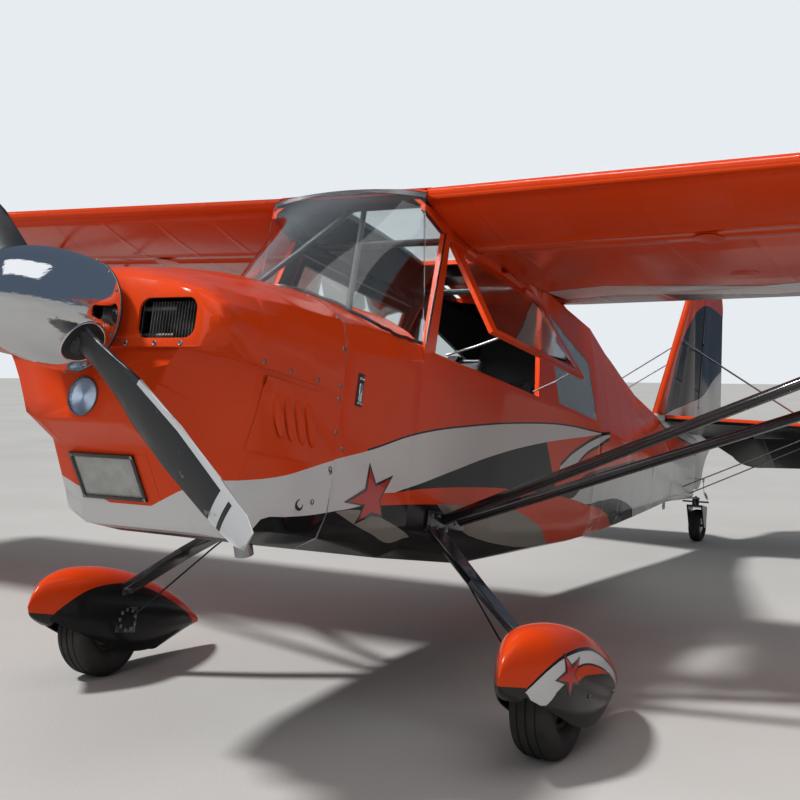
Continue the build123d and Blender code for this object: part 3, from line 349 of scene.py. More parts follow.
WEDGE_TOP = ((-3.5, -.26), (-3.3, -.205), (-3.133, -.161), (-2.83, -.144), (-2.468, -.182), (-2.141, -.227))
WEDGE_LOW = ((-3.5, -.46), (-3.0, -.32), (-2.75, -.268), (-2.53, -.227), (-2.35, -.220), (-2.141, -.229))
BLOB_TOP = ((-.6, -.50), (-.512, -.478), (-.375, -.451), (-.233, -.43), (-.135, -.435), (-.049, -.449),
            (0, -.46))
BLOB_LOW = ((-.6, -.49), (-.527, -.499), (-.428, -.523), (-.305, -.501), (-.188, -.48), (-.049, -.449),
            (0, -.44))
CHIN_X, CHIN_LOW, CHIN_HALF, CHIN_RISE = 0.43, -0.498, 0.08, 0.38
TAIL_SWEEP = ((-5.2, .43), (-4.7, .425), (-4.3, .44), (-4.1, .49), (-3.95, .6))
print("points of the longest edge", len(BLACK_EDGE))

# %% Widths and spans of its parts
SWEEP_LINE, TAIL_LINE = 0.007, 0.012
SWEEP_END, SWEEP_LINE_END, AFT_WHITE_FROM = -2.42, -0.2, -2.02
AFT_RED, AFT_SHADE, STRIPE_SPAN = (-2.9, -1.5), (-3.1, -1.9), (-2.49, -1.85)
BLACK_LEAN, BLACK_FROM = -0.85, -1.66
LOW_BLACK_TOP, LOW_BLACK = -0.24, (-2.4, 0.0)
FLAME_SPAN, BLOB_SPAN, TRAIL_SPAN, WEDGE_SPAN = (-2.4, -0.7), (-.56, -.04), (-2.95, -0.26), (-3.42, -2.15)
TAIL_WHITE_FROM, TAIL_LINE_FROM = -3.95, -3.93
print("stripes span", STRIPE_SPAN)

# %% Edges and schemes as nodes
def edge_height(x, points):
    """The height of a painted edge at each distance x, from a Float Curve."""
    (x0, x1), (z0, z1) = EDGE_X, EDGE_Z
    node = add(x.tree, "FloatCurve", inputs={"Value": x.spread(x0, x1, 0.0, 1.0)})
    curve = node.mapping.curves[0]
    placed = [((px - x0) / (x1 - x0), (pz - z0) / (z1 - z0)) for px, pz in sorted(points)]
    curve.points[0].location = (0, placed[0][1])
    curve.points[1].location = (1, placed[-1][1])
    for point in placed:
        curve.points.new(*point)
    for point in curve.points:
        point.handle_type = "AUTO_CLAMPED"
    node.mapping.update()
    return Field(x.tree, node.outputs[0]).spread(0.0, 1.0, z0, z1)


def scheme(name, paint):
    """A node group that is given the level x, y and z, and gives the colour that paint works out."""
    tree = bpy.data.node_groups.new(name, "ShaderNodeTree")
    for axis in "xyz":
        tree.interface.new_socket(axis, in_out="INPUT", socket_type="NodeSocketFloat")
    tree.interface.new_socket("Colour", in_out="OUTPUT", socket_type="NodeSocketColor")
    given = tree.nodes.new("NodeGroupInput").outputs
    result = tree.nodes.new("NodeGroupOutput").inputs[0]
    feed(tree, result, paint(*(Field(tree, given[axis]) for axis in range(3))))
    return tree


print("scheme helpers ready")

# %% Scheme of the fuselage
def side_colour(x, y, z):
    """The fuselage: red above a white sweep, black and a red trail below it."""
    red_edge, black_edge = edge_height(x, RED_EDGE), edge_height(x, BLACK_EDGE)
    aft_edge, tail_edge = edge_height(x, AFT_WHITE), edge_height(x, TAIL_SWEEP)
    stripe_top, stripe_low = edge_height(x, STRIPE_TOP), edge_height(x, STRIPE_LOW)
    trail_top, trail_low = edge_height(x, TRAIL_TOP), edge_height(x, TRAIL_LOW)
    below_white = z < black_edge
    stripe_edge = (z < stripe_top + STRIPE_LINE) & (z > stripe_low - STRIPE_LINE)
    stripe = (z < stripe_top) & (z > stripe_low)
    flame = (z < trail_low) & (z > edge_height(x, FLAME_LOW))
    blob = (z < edge_height(x, BLOB_TOP)) & (z > edge_height(x, BLOB_LOW))
    outwards = (abs(y) - CHIN_HALF).maths("MAXIMUM", 0.0)
    return layered(RED, (
        ((z < red_edge + SWEEP_LINE) & x.within(SWEEP_END, SWEEP_LINE_END), BLACK),
        ((z < red_edge) & (x > SWEEP_END), WHITE),
        (below_white & x.within(*AFT_RED), RED),
        ((z < aft_edge + AFT_BLACK) & x.within(*AFT_SHADE), BLACK),
        (stripe_edge & x.within(*STRIPE_SPAN), BLACK),
        (stripe & x.within(*STRIPE_SPAN), WHITE),
        (below_white & (x + z * BLACK_LEAN > BLACK_FROM), BLACK),
        ((z < aft_edge) & (x < AFT_WHITE_FROM), WHITE),
        (below_white & (z < LOW_BLACK_TOP) & x.within(*LOW_BLACK), BLACK),
        # The flames and the blob are drawn in the grey of painted shade, not in white.
        (flame & x.within(*FLAME_SPAN), BELLY_PAINTED_SHADE),
        (blob & x.within(*BLOB_SPAN), BELLY_PAINTED_SHADE),
        ((z < trail_top) & (z > trail_low) & x.within(*TRAIL_SPAN), RED),
        ((z < edge_height(x, WEDGE_TOP)) & x.within(*WEDGE_SPAN), BLACK),
        ((z < edge_height(x, WEDGE_LOW)) & x.within(*WEDGE_SPAN), RED),
        ((x > CHIN_X) & (z > outwards * CHIN_RISE + CHIN_LOW), RED),
        ((z > tail_edge - TAIL_LINE) & (x < TAIL_LINE_FROM), BLACK),
        ((z > tail_edge) & (x < TAIL_WHITE_FROM), WHITE),
    ))


SIDE_SCHEME = scheme("side_scheme", side_colour)
print("scheme nodes", len(SIDE_SCHEME.nodes))

# %% [markdown]
# The fin and rudder carry the black sweep of the tail: red at the top and the leading edge, black
# in the middle and white at the foot. The tailplane is red above and black below. The wings are red
# with a white and black band that runs along the trailing edge, broken into points like a sunburst.
# The wheel fairings repeat the side.

# %% Schemes of the tail, the wings and the wheel fairings
FIN_RED = ((-5.76, 1.40), (-5.53, 1.46), (-5.2, 1.45), (-5.0, 1.39), (-4.8, 1.25), (-4.65, 1.10),
           (-4.56, .97), (-4.42, .66), (-4.3, .5))
FIN_WHITE = ((-5.76, 1.1), (-5.66, 1.06), (-5.46, .963), (-5.2, .80), (-4.9, .70), (-4.6, .61), (-4.25, .52))
PANT_LINE = ((-1.14, -.95), (-.95, -.885), (-.786, -.832), (-.671, -.801), (-.565, -.788), (-.451, -.794),
             (-.369, -.81), (-.328, -.825), (-.296, -.844), (-.255, -.88), (-.224, -.912), (-.14, -1.0))
PANT_DARK = ((-1.14, -.955), (-.9, -.905), (-.752, -.868), (-.62, -.866), (-.491, -.875), (-.42, -.885),
             (-.372, -.899), (-.326, -.935), (-.303, -.966), (-.26, -.952), (-.224, -.925), (-.14, -.91))
PANT_TRAIL_TOP = ((-.8, -.885), (-.752, -.872), (-.635, -.851), (-.534, -.843), (-.456, -.851), (-.4, -.87))
PANT_TRAIL_LOW = ((-.8, -.885), (-.752, -.876), (-.633, -.873), (-.535, -.873), (-.465, -.890), (-.4, -.91))
PANT_NOSE_X, PANT_LIP_Z = -.223, -.911
PANT_TRAIL_SPAN, PANT_TRAIL_LINE = (-.76, -.43), 0.007
PANT_LINE_WIDTH, PANT_INNER_Y, PANT_INNER_LINE = 0.011, 0.925, 0.01
TAILPLANE_MIDDLE = 0.514
RAY_HALF_PITCH, RAY_LINE = 0.62, 0.014
RAY_WHITE_X, RAY_WHITE_LEAN, RAY_BLACK_X, RAY_BLACK_LEAN = -1.74, 0.27, -1.98, 0.30


def fin_colour(x, y, z):
    return layered(BLACK, ((z > edge_height(x, FIN_RED), RED), (z < edge_height(x, FIN_WHITE), WHITE)))


def tailplane_colour(x, y, z):
    return mix(z > TAILPLANE_MIDDLE, BLACK, RED)


def wing_colour(x, y, z):
    ray = abs(y).maths("PINGPONG", RAY_HALF_PITCH)
    white_from = ray * RAY_WHITE_LEAN + RAY_WHITE_X
    black_from = ray * RAY_BLACK_LEAN + RAY_BLACK_X
    layers = ((x < white_from + RAY_LINE, BLACK), (x < white_from, WHITE), (x < black_from, BLACK))
    return layered(RED, layers)


def pant_colour(x, y, z):
    line, trail_top = edge_height(x, PANT_LINE), edge_height(x, PANT_TRAIL_TOP)
    trail = (z < trail_top + PANT_TRAIL_LINE) & (z > edge_height(x, PANT_TRAIL_LOW))
    trail = trail & x.within(*PANT_TRAIL_SPAN)
    nose = x > PANT_NOSE_X
    return layered(RED, (
        (z < line, BLACK),
        (z < line - PANT_LINE_WIDTH, WHITE),
        (z < edge_height(x, PANT_DARK), GRAPHITE),
        (trail, BLACK),
        (trail & (z < trail_top), RED),
        (nose, RED),
        (nose & (z < PANT_LIP_Z), GRAPHITE),
        ((abs(y) < PANT_INNER_Y) & (z < line + PANT_INNER_LINE), BLACK),
    ))


FIN_SCHEME, TAILPLANE_SCHEME = scheme("fin_scheme", fin_colour), scheme("tailplane_scheme", tailplane_colour)
WING_SCHEME, PANT_SCHEME = scheme("wing_scheme", wing_colour), scheme("pant_scheme", pant_colour)
print("tail, wing and fairing schemes ready")

# %% [markdown]
# Aircraft enamel is sprayed and then cleared, so it is glossy with a faint orange peel. Over fabric
# the ribs and their stitched tapes stand a little proud, so that finish has a second, wider bump.
# Dust dulls the gloss in broad soft patches.

# %% Places and inner faces of a painted skin
HULL_AXIS_HEIGHT, INWARDS = 0.1, -0.02
LINING = (0.03, 0.031, 0.034)


def level_place(made):
    """The level x, y and z of a point: its parked place, moved and turned back."""
    tree = made.node_tree
    back = add(tree, "Mapping", inputs={"Vector": place_on(made), "Location": PARK.inverted().translation,
                                        "Rotation": (0, NOSE_UP, 0)})
    return [Field(tree, part) for part in add(tree, "SeparateXYZ", inputs={0: back.outputs[0]}).outputs]


def lining_mask(made, y, z):
    """1 on the faces of a hull skin that look inwards, to the axis of the fuselage."""
    tree = made.node_tree
    normal = add(tree, "VectorTransform", vector_type="NORMAL", convert_from="WORLD", convert_to="OBJECT",
                 inputs={0: add(tree, "NewGeometry").outputs["True Normal"]})
    back = add(tree, "Mapping", vector_type="VECTOR",
               inputs={"Vector": normal.outputs[0], "Rotation": (0, NOSE_UP, 0)})
    facing = [Field(tree, part) for part in add(tree, "SeparateXYZ", inputs={0: back.outputs[0]}).outputs]
    return facing[1] * y + facing[2] * (z - HULL_AXIS_HEIGHT) < INWARDS


print("masks ready")

# %% Sprayed finishes
PAINT_ROUGHNESS, PAINT_COAT, PAINT_SPECULAR = 0.16, 0.08, 0.18
DUST = (0.30, 0.26, 0.22)
TAPE_PITCH, TAPE_HALF, TAPE_DEPTH, TAPE_OFFSET = 0.30, 0.02, 0.0012, 10.0
BULKHEAD_X = -2.302


def sprayed(name, painted, ribs=None, lined=False):
    """Glossy paint with a scheme; ribs is the axis along which rib tapes repeat."""
    made = new_finish(name, RED, PAINT_ROUGHNESS, coat=PAINT_COAT)
    place = level_place(made)
    group = add(made.node_tree, "Group", node_tree=painted, inputs=dict(enumerate(place)))
    dust = noise_on(made, 2.3, 6.0)
    colour = mix(dust.spread(0.45, 0.8, 0.0, 0.035), group.outputs[0], DUST)
    if lined:
        colour = mix(lining_mask(made, *place[1:]), colour, LINING)
    if ribs == 0:
        colour = mix(place[0] > BULKHEAD_X, colour, LINING)
    set_shader(made, {"Base Color": colour, "Roughness": dust.spread(0.3, 0.75, 0.10, 0.24),
                      "Specular IOR Level": PAINT_SPECULAR})
    grain(made, 260, 0.0003)
    if ribs is not None:
        wave = (place[ribs] + TAPE_OFFSET).maths("PINGPONG", TAPE_PITCH / 2)
        tape = wave.spread(0.0, TAPE_HALF, 1.0, 0.0, interpolation_type="SMOOTHSTEP")
        raise_by(made, tape, TAPE_DEPTH)
    return made


SIDE_PAINT = sprayed("side_paint", SIDE_SCHEME, lined=True)
TRIM_PAINT = sprayed("trim_paint", SIDE_SCHEME)
FABRIC_PAINT = sprayed("fabric_side_paint", SIDE_SCHEME, ribs=0)
WING_PAINT = sprayed("wing_paint", WING_SCHEME, ribs=1)
FIN_PAINT = sprayed("fin_paint", FIN_SCHEME, ribs=2)
TAIL_PAINT = sprayed("tailplane_paint", TAILPLANE_SCHEME, ribs=1)
PANT_PAINT = sprayed("pant_paint", PANT_SCHEME)
print("sprayed finishes", len(bpy.data.materials))

# %% [markdown]
# The other finishes: black enamel on struts and legs, polished aluminium on the spinner, satin
# charcoal on the blades, cast and machined metal, rubber with dust in it, moulded plastic,
# clear acrylic, woven seat cloth and webbing. Each gets its own grain and wear.

# %% Other finishes
def worn(name, colour, roughness, metallic=0.0, coat=0.0, gloss=None, drift=None, bump=None):
    """A finish with uneven gloss, drifting colour and a grain, each where its values are given."""
    made = new_finish(name, colour, roughness, metallic, coat)
    for helper, values in ((uneven_gloss, gloss), (mottle, drift), (grain, bump)):
        if values:
            helper(made, *values)
    return made


ENAMEL = worn("black_enamel", BLACK, 0.2, coat=0.7, gloss=(0.14, 0.32, 6),
              drift=(BLACK, (0.03, 0.028, 0.026), 9, 0.5), bump=(220, 0.0003))
CHROME = worn("polished_aluminium", (0.78, 0.79, 0.80), 0.05, 1.0, gloss=(0.03, 0.09, 5),
              bump=(18, 0.0004, (1, 6, 6)))
STEEL = worn("plated_steel", (0.42, 0.42, 0.42), 0.3, 1.0, gloss=(0.22, 0.42, 40), bump=(300, 0.0001))
CAST = worn("cast_aluminium", (0.33, 0.33, 0.32), 0.5, 0.8,
            drift=((0.34, 0.34, 0.33), (0.12, 0.10, 0.08), 14), bump=(420, 0.0008))
ENGINE_GREY = worn("engine_grey", (0.06, 0.062, 0.065), 0.5, 0.3,
                   drift=((0.07, 0.07, 0.075), (0.03, 0.022, 0.016), 8), bump=(150, 0.001))
CHARCOAL = new_finish("blade_charcoal", (0.036, 0.037, 0.040), 0.34)
RUBBER = worn("tyre_rubber", (0.018, 0.018, 0.017), 0.75, gloss=(0.6, 0.9, 12),
              drift=((0.014, 0.014, 0.013), (0.055, 0.050, 0.042), 7, 0.8), bump=(350, 0.0008))
PLASTIC = worn("moulded_plastic", (0.045, 0.045, 0.048), 0.5, gloss=(0.42, 0.6, 15), bump=(700, 0.0005))
TUBE = worn("tube_enamel", (0.022, 0.023, 0.025), 0.35, coat=0.3, gloss=(0.28, 0.45, 20), bump=(320, 0.0002))
WEBBING = worn("harness_webbing", (0.02, 0.022, 0.03), 0.8,
               drift=((0.02, 0.022, 0.03), (0.05, 0.05, 0.06), 60), bump=(900, 0.0008, (1, 8, 1)))
WHITE_GLOSS, STAR_RED = (worn(name, colour, 0.2, coat=0.5, gloss=(0.15, 0.3, 8), bump=(240, 0.0002))
                         for name, colour in (("white_enamel", WHITE), ("emblem_red", (0.48, 0.02, 0.01))))
print("worn finishes", len(bpy.data.materials))

# %% Clear finishes
ACRYLIC_IOR = 1.45


def glass(name, tint, roughness=0.02, shade=0.12):
    """Clear acrylic. Shadow rays mostly pass, because real acrylic throws hardly any shadow."""
    made = new_finish(name, tint, roughness)
    shadow_ray = Field(made.node_tree, add(made.node_tree, "LightPath").outputs["Is Shadow Ray"])
    alpha = shadow_ray * (shade - 1.0) + 1.0
    set_shader(made, {"Transmission Weight": 1.0, "IOR": ACRYLIC_IOR, "Alpha": alpha})
    uneven_gloss(made, roughness, roughness * 2.5, 3)
    grain(made, 3.5, 0.0006)
    return made


ACRYLIC = glass("clear_acrylic", (0.86, 0.90, 0.90))
SMOKED = glass("tinted_acrylic", (0.62, 0.66, 0.66), 0.02, 0.3)
LENS = glass("lamp_lens", (0.62, 0.70, 0.82), 0.16)
RED_LENS = glass("port_lamp_lens", (0.8, 0.05, 0.03), 0.05)
GREEN_LENS = glass("starboard_lamp_lens", (0.03, 0.55, 0.12), 0.05)
print("materials so far", len(bpy.data.materials))

# %% [markdown]
# The seat cloth is a coarse weave. Two crossed waves raise the threads, and their colour changes a
# little from thread to thread, which is what makes cloth look like cloth from near by.

# %% Seat cloth
SHEEN_WEIGHT, SHEEN_ROUGHNESS = 0.4, 0.5


def woven(name, colour, second, pitch):
    made = new_finish(name, colour, 0.85)
    tree = made.node_tree
    set_shader(made, {"Sheen Weight": SHEEN_WEIGHT, "Sheen Roughness": SHEEN_ROUGHNESS})
    waves = []
    for direction in "XYZ":
        inputs = {"Vector": place_on(made), "Scale": 1 / pitch, "Distortion": 0.6, "Detail": 1.0}
        wave = add(tree, "TexWave", bands_direction=direction, inputs=inputs)
        waves.append(Field(tree, wave.outputs["Fac"]))
    raise_by(made, waves[0] + waves[1] + waves[2], 0.0006)
    mottle(made, colour, second, 90)
    return made


SEAT_CLOTH = woven("seat_cloth", (0.055, 0.056, 0.062), (0.11, 0.11, 0.12), 0.012)
CARPET = woven("cabin_carpet", (0.045, 0.044, 0.046), (0.08, 0.078, 0.075), 0.008)
print("cloths ready")

# %% [markdown]
# The blade is charcoal, with a pale erosion strip along its leading edge and pale and black bands
# near the tip. The bands are cut square to the blade, so the material measures distance from the
# propeller's axis. The strip lies by distance across the blade, and narrows towards the tip.

# %% Blade bands
BLADE_ANGLE = radians(-38.6)
BLADE_BANDS, BLADE_TIP = ((.80, .835), (.85, .885)), .885
BLADE_GREY, BLADE_PALE, CHIP_GREY = (0.017, 0.018, 0.020), (0.45, 0.46, 0.47), (0.20, 0.20, 0.20)
STRIP_FROM, STRIP_EDGE, TAPER_FROM, TAPER = .42, .064, .60, .073


def blade_paint(made):
    """Paints the propeller's own finish with its strip, its bands and small stone chips."""
    x, y, z = level_place(made)
    along = y * cos(BLADE_ANGLE) + z * sin(BLADE_ANGLE)
    radius = abs(along)
    chord = z * cos(BLADE_ANGLE) - y * sin(BLADE_ANGLE)
    leading = chord * along.maths("SIGN")
    taper = (radius - TAPER_FROM).maths("MAXIMUM", 0.0) * TAPER
    strip_mask = (leading + taper > STRIP_EDGE) & radius.within(STRIP_FROM, BLADE_TIP)
    bands = [(radius.within(low, high), BLADE_PALE) for low, high in BLADE_BANDS]
    chips = noise_on(made, 30.0, 8.0).spread(0.68, 0.72, 0.0, 0.5)
    layers = [(radius > BLADE_TIP, BLADE_PALE), (strip_mask, BLADE_PALE), *bands, (chips, CHIP_GREY)]
    set_shader(made, {"Base Color": layered(BLADE_GREY, layers)})
    uneven_gloss(made, 0.28, 0.45, 12)
    grain(made, 400, 0.0002)


blade_paint(CHARCOAL)
print("blade painted")

# %% [markdown]
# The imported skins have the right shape, but their faces are cut into loose triangles with flat
# shading. A merged copy with smooth shading shows the same surface as one clean sheet. Each copy
# stands in for its node, so nothing is drawn twice.

# %% Fair copies of the solids
SKIN_MERGE = 0.00002


@contextmanager
def editing(action="SELECT"):
    """Edit mode, with all of the mesh selected, or with None what was chosen before."""
    bpy.ops.object.mode_set(mode="EDIT")
    if action:
        bpy.ops.mesh.select_all(action=action)
    yield
    bpy.ops.object.mode_set(mode="OBJECT")


def fair_copy(name, finish, angle):
    """A merged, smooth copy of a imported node, which stands in for it."""
    made = bpy.data.objects.new(name + "_skin", nodes[name].data.copy())
    bpy.context.scene.collection.objects.link(made)
    alone(made)
    with editing():
        bpy.ops.mesh.remove_doubles(threshold=SKIN_MERGE)
    return fit(soften(made, angle), name + "_skin", body_of_node[name], finish, (name,))


print("copier ready")

# %% Table of the skins
# Each row is a finish, its slot, the angle up to which edges are smoothed, and the nodes.
SKINS = (
    (SIDE_PAINT, "red_paint", 34, ("cowl_upper", "cowl_lower")),
    (SIDE_PAINT, "red_paint", 30, ("boot_cowl",)),
    (SIDE_PAINT, "black_paint", 30, ("cabin_belly",)),
    (SIDE_PAINT, "red_paint", 24, ("cabin_side_left", "cabin_side_right", "cabin_roof", "door")),
    (TRIM_PAINT, "red_paint", 24, ("side_window_frame",)),
    (FABRIC_PAINT, "red_paint", 8, ("aft_fuselage",)),
    (WING_PAINT, "red_paint", 30, ("wing_left", "wing_right", "aileron_left", "aileron_right")),
    (FIN_PAINT, "black_paint", 30, ("fin", "rudder")),
    (TAIL_PAINT, "black_paint", 30, ("stabilizer", "elevator")),
    (ENAMEL, "black_paint", 40, ("front_strut_left", "front_strut_right", "rear_strut_left",
                                 "rear_strut_right", "jury_struts")),
    (ENAMEL, "black_paint", 30, ("gear_leg_left", "gear_leg_right")),
    (STEEL, "steel", 30, ("axles",)),
    (CHARCOAL, "black_paint", 40, ("propeller_blades",)),
    (ACRYLIC, "glazing", 30, ("skylight",)),
    (SMOKED, "glazing", 30, ("rear_windows",)),
    (ACRYLIC, "glazing", 30, ("side_window_glass", "door_window")),
    (ENGINE_GREY, "bare_metal", 30, ("engine_block",)),
    (STEEL, "bare_metal", 30, ("firewall",)),
    (TUBE, "black_paint", 40, ("cabin_frame",)),
    (CARPET, "floor_board", 30, ("cabin_floor",)),
    (PLASTIC, "grey_plastic", 30, ("instrument_panel",)),
    (PLASTIC, "grey_plastic", 40, ("controls",)),
    (STEEL, "bare_metal", 40, ("exhaust",)),
    (ENAMEL, "steel", 30, ("tail_spring",)),
    (ENAMEL, "black_paint", 30, ("tailwheel_fork",)),
    (STEEL, "bare_metal", 30, ("tail_rim",)),
    (STEEL, "steel", 40, ("tail_bracing", "tie_downs")),
    (RED_LENS, "clear_lens", 40, ("wingtip_light_left",)),
    (GREEN_LENS, "clear_lens", 40, ("wingtip_light_right",)),
)
skins = {}
for finish, slot, angle, names in SKINS:
    for name in names:
        skins[name] = fair_copy(name, finish, angle)
print("fair copies", len(skins))

# %% [markdown]
# Small hardware repeats: screws along every cowl seam, bolts round plates and rims. One is modelled
# and copied to measured places. To find a place on a curved skin, a ray is sent at it from outside,
# which gives the point and the direction that the head of the screw has to face.

# %% Finding places on the skins
def touch(names, start, towards):
    """The first point and outward direction where a ray in the level frame meets the named skins."""
    origin = PARK @ Vector(start)
    heading = (PARK.to_3x3() @ Vector(towards)).normalized()
    best = None
    for name in names:
        hit, point, normal, _ = skins[name].ray_cast(origin, heading)
        if hit and (best is None or (point - origin).length < (best[0] - origin).length):
            best = (point.copy(), normal.copy())
    return best


print("rays ready")

# %% Places on the flanks
SIDE_START, HULL_LEAST = 1.6, 0.05


def beside(names, x, z, side):
    """The place on the named skins at level x, z, seen from port or starboard."""
    found = touch(names, (x, side * SIDE_START, z), (0, -side, 0))
    if found and level(found[0]).y * side > HULL_LEAST:
        return found
    return None


def side_height(names, x, z, side, reach=0.04):
    """The level y of a skin as the mean of places on both sides of x, z, so that holes don't matter."""
    heights = []
    for dx, dz in ((reach, 0), (0, reach), (reach, reach), (reach, -reach), (reach / 2, 0), (0, reach / 2)):
        pair = [beside(names, x + sign * dx, z + sign * dz, side) for sign in (1, -1)]
        if all(pair):
            heights.append(sum(level(spot[0]).y for spot in pair) / 2)
    return max(heights, key=abs)


COWL_HALVES = ("cowl_lower", "cowl_upper")
COWL_SKINS = ("cowl_upper", "cowl_lower", "boot_cowl", "cabin_side_left", "cabin_side_right", "cabin_belly")
print("cowl skins", len(COWL_SKINS))

# %% Screws and bolts
def new_mesh(operator, **settings):
    """Adds one mesh with nothing else selected."""
    bpy.ops.object.select_all(action="DESELECT")
    operator(**settings)
    return bpy.context.object


def choose(obj, test):
    """Selects the faces that pass a test, and nothing else."""
    bpy.ops.object.mode_set(mode="EDIT")
    bpy.ops.mesh.select_all(action="DESELECT")
    bpy.ops.object.mode_set(mode="OBJECT")
    for face in obj.data.polygons:
        face.select = test(face)


def bolt_head(radius, height, sides=6):
    """One bolt or screw head: a short prism with bevelled edges and a sunk socket."""
    head = new_mesh(bpy.ops.mesh.primitive_cylinder_add, vertices=sides, radius=radius, depth=height,
                    location=(0, 0, height / 2))
    bpy.ops.object.transform_apply(location=True)
    choose(head, lambda face: face.normal.z > 0.9)
    with editing(None):
        bpy.ops.mesh.bevel(offset=height * 0.3, segments=1)
        bpy.ops.mesh.inset(thickness=radius * 0.38, depth=0)
        bpy.ops.mesh.inset(thickness=radius * 0.05, depth=-height * 0.5)
    return head


def plant(template, spots, name, finish=STEEL, body="airframe"):
    """Copies the template to each spot, facing outwards, and joins the copies into one piece."""
    parts = []
    for point, normal in spots:
        twin = template.copy()
        twin.data = template.data.copy()
        bpy.context.scene.collection.objects.link(twin)
        twin.matrix_world = Matrix.Translation(point) @ normal.to_track_quat("Z", "X").to_matrix().to_4x4()
        parts.append(twin)
    bpy.data.objects.remove(template)
    return fit(settle(join(parts), park=False), name, body, finish)


def around(count):
    """The angles of things set evenly round a circle."""
    return [step / count * 2 * pi for step in range(count)]


print("hardware helpers ready")

# %% [markdown]
# Round things are turned, as on a lathe. A closed outline of the section is drawn beside the axis,
# and the Spin tool carries it once round. The doubled last section is merged and the faces are
# turned outwards.

# %% Turning round parts
LATHE_MERGE = 0.00001
FORWARD, SIDEWAYS, UPWARD = (1, 0, 0), (0, 1, 0), (0, 0, 1)


def turned(section, centre, axis, steps=64):
    """A ring turned about an axis of the level frame; the section is (radius, distance along) pairs."""
    axis = Vector(axis).normalized()
    side = Vector(UPWARD) if abs(axis.z) < 0.9 else Vector(FORWARD)
    centre = Vector(centre)
    ring = new_mesh(bpy.ops.mesh.primitive_circle_add, vertices=len(section), fill_type="NOTHING")
    for vertex, (radius, along) in zip(ring.data.vertices, section):
        vertex.co = centre + axis * along + side * radius
    with editing():
        bpy.ops.mesh.spin(steps=steps, angle=2 * pi, center=centre, axis=axis)
        bpy.ops.mesh.select_all(action="SELECT")
        bpy.ops.mesh.remove_doubles(threshold=LATHE_MERGE)
        bpy.ops.mesh.normals_make_consistent(inside=False)
    return ring


def mirrored(half):
    """A whole section from the half on one side of its middle."""
    return half + [(radius, -along) for radius, along in reversed(half)]


def formed(columns, rows, shape):
    """A sheet formed over a curved tool: a grid whose points are set by shape(u, v), both 0 to 1."""
    sheet = new_mesh(bpy.ops.mesh.primitive_grid_add, x_subdivisions=columns, y_subdivisions=rows, size=1)
    for vertex in sheet.data.vertices:
        vertex.co = Vector(shape(vertex.co.x + 0.5, vertex.co.y + 0.5))
    with editing():
        bpy.ops.mesh.remove_doubles(threshold=SKIN_MERGE)
        bpy.ops.mesh.normals_make_consistent(inside=False)
    return sheet


def thicken(obj, wall, offset=-1.0):
    """Gives a sheet its wall and applies it."""
    alone(obj)
    modifier = obj.modifiers.new("wall", "SOLIDIFY")
    modifier.thickness = wall
    modifier.offset = offset
    bpy.ops.object.modifier_apply(modifier=modifier.name)
    return obj


print("lathe and former ready")

# %% [markdown]
# The spinner is spun from aluminium sheet and polished. Its outline is a blunt bullet: straight for
# a hand's breadth, then rounding in to the tip. It is turned as a shell with a thin wall.
# The blades come out through round holes, each edged with a rolled lip and closed by a rubber boot
# that follows the same surface.

# %% Spinner
SPINNER_BASE, SPINNER_TIP, SPINNER_RADIUS, SPINNER_WALL = 0.768, 1.132, 0.163, 0.003
SPINNER_LENGTH, SPINNER_STRAIGHT, SPINNER_STEPS = SPINNER_TIP - SPINNER_BASE, 0.035, 30
SPINNER_ROUNDING = SPINNER_LENGTH - SPINNER_STRAIGHT
outer = []
for step in range(SPINNER_STEPS):
    angle = step / SPINNER_STEPS * pi / 2
    outer.append((SPINNER_RADIUS * cos(angle) ** 0.92, SPINNER_STRAIGHT + SPINNER_ROUNDING * sin(angle)))
section = [(SPINNER_RADIUS - 0.002, 0.0), (SPINNER_RADIUS, 0.004), *outer, (0.0, SPINNER_LENGTH)]
section += [(0.0, SPINNER_LENGTH - SPINNER_WALL)]
section += [(max(r - SPINNER_WALL, 0.0), a - SPINNER_WALL * 0.5) for r, a in reversed(outer)]
section += [(SPINNER_RADIUS - SPINNER_WALL, 0.0)]
spinner = turned(section, (SPINNER_BASE, 0, 0), FORWARD, 96)
piece([spinner], "spinner_shell", CHROME, "propeller", ("spinner",))
print("spinner turned, faces", len(spinner.data.polygons))

# %% Blade holes
across = Vector((0, cos(BLADE_ANGLE), sin(BLADE_ANGLE)))
BLADE_X, HOLE_RADIUS = 0.850, 0.060
LIP_WIDTH, LIP_RISE, BOOT_WIDTH, BOOT_LIFT = 0.0055, 0.0022, 0.034, 0.0012


def spinner_radius(x):
    """The radius of the spinner at a distance x."""
    share = min(max((x - SPINNER_BASE - SPINNER_STRAIGHT) / SPINNER_ROUNDING, 0.0), 1.0)
    return SPINNER_RADIUS * (1 - share * share) ** 0.46


def on_spinner(side, reach, turn, lift):
    """A point on the spinner by its reach from the axis of a blade, its turn about it and its lift."""
    x, off = BLADE_X + reach * cos(turn), reach * sin(turn)
    out = (spinner_radius(x) ** 2 - off * off) ** 0.5 + lift
    return (x, *(across * side * out + Vector((0, -across.z, across.y)) * off).yz)


def lip_point(side, u, v):
    """A point of the rolled lip that follows the edge of a blade hole."""
    return on_spinner(side, HOLE_RADIUS + LIP_WIDTH * v, u * 2 * pi, LIP_RISE * sin(pi * v))


def boot_point(side, u, v):
    """A point of the rubber boot that closes a blade hole round the root of the blade."""
    return on_spinner(side, HOLE_RADIUS - BOOT_WIDTH * (1 - v), u * 2 * pi, BOOT_LIFT)


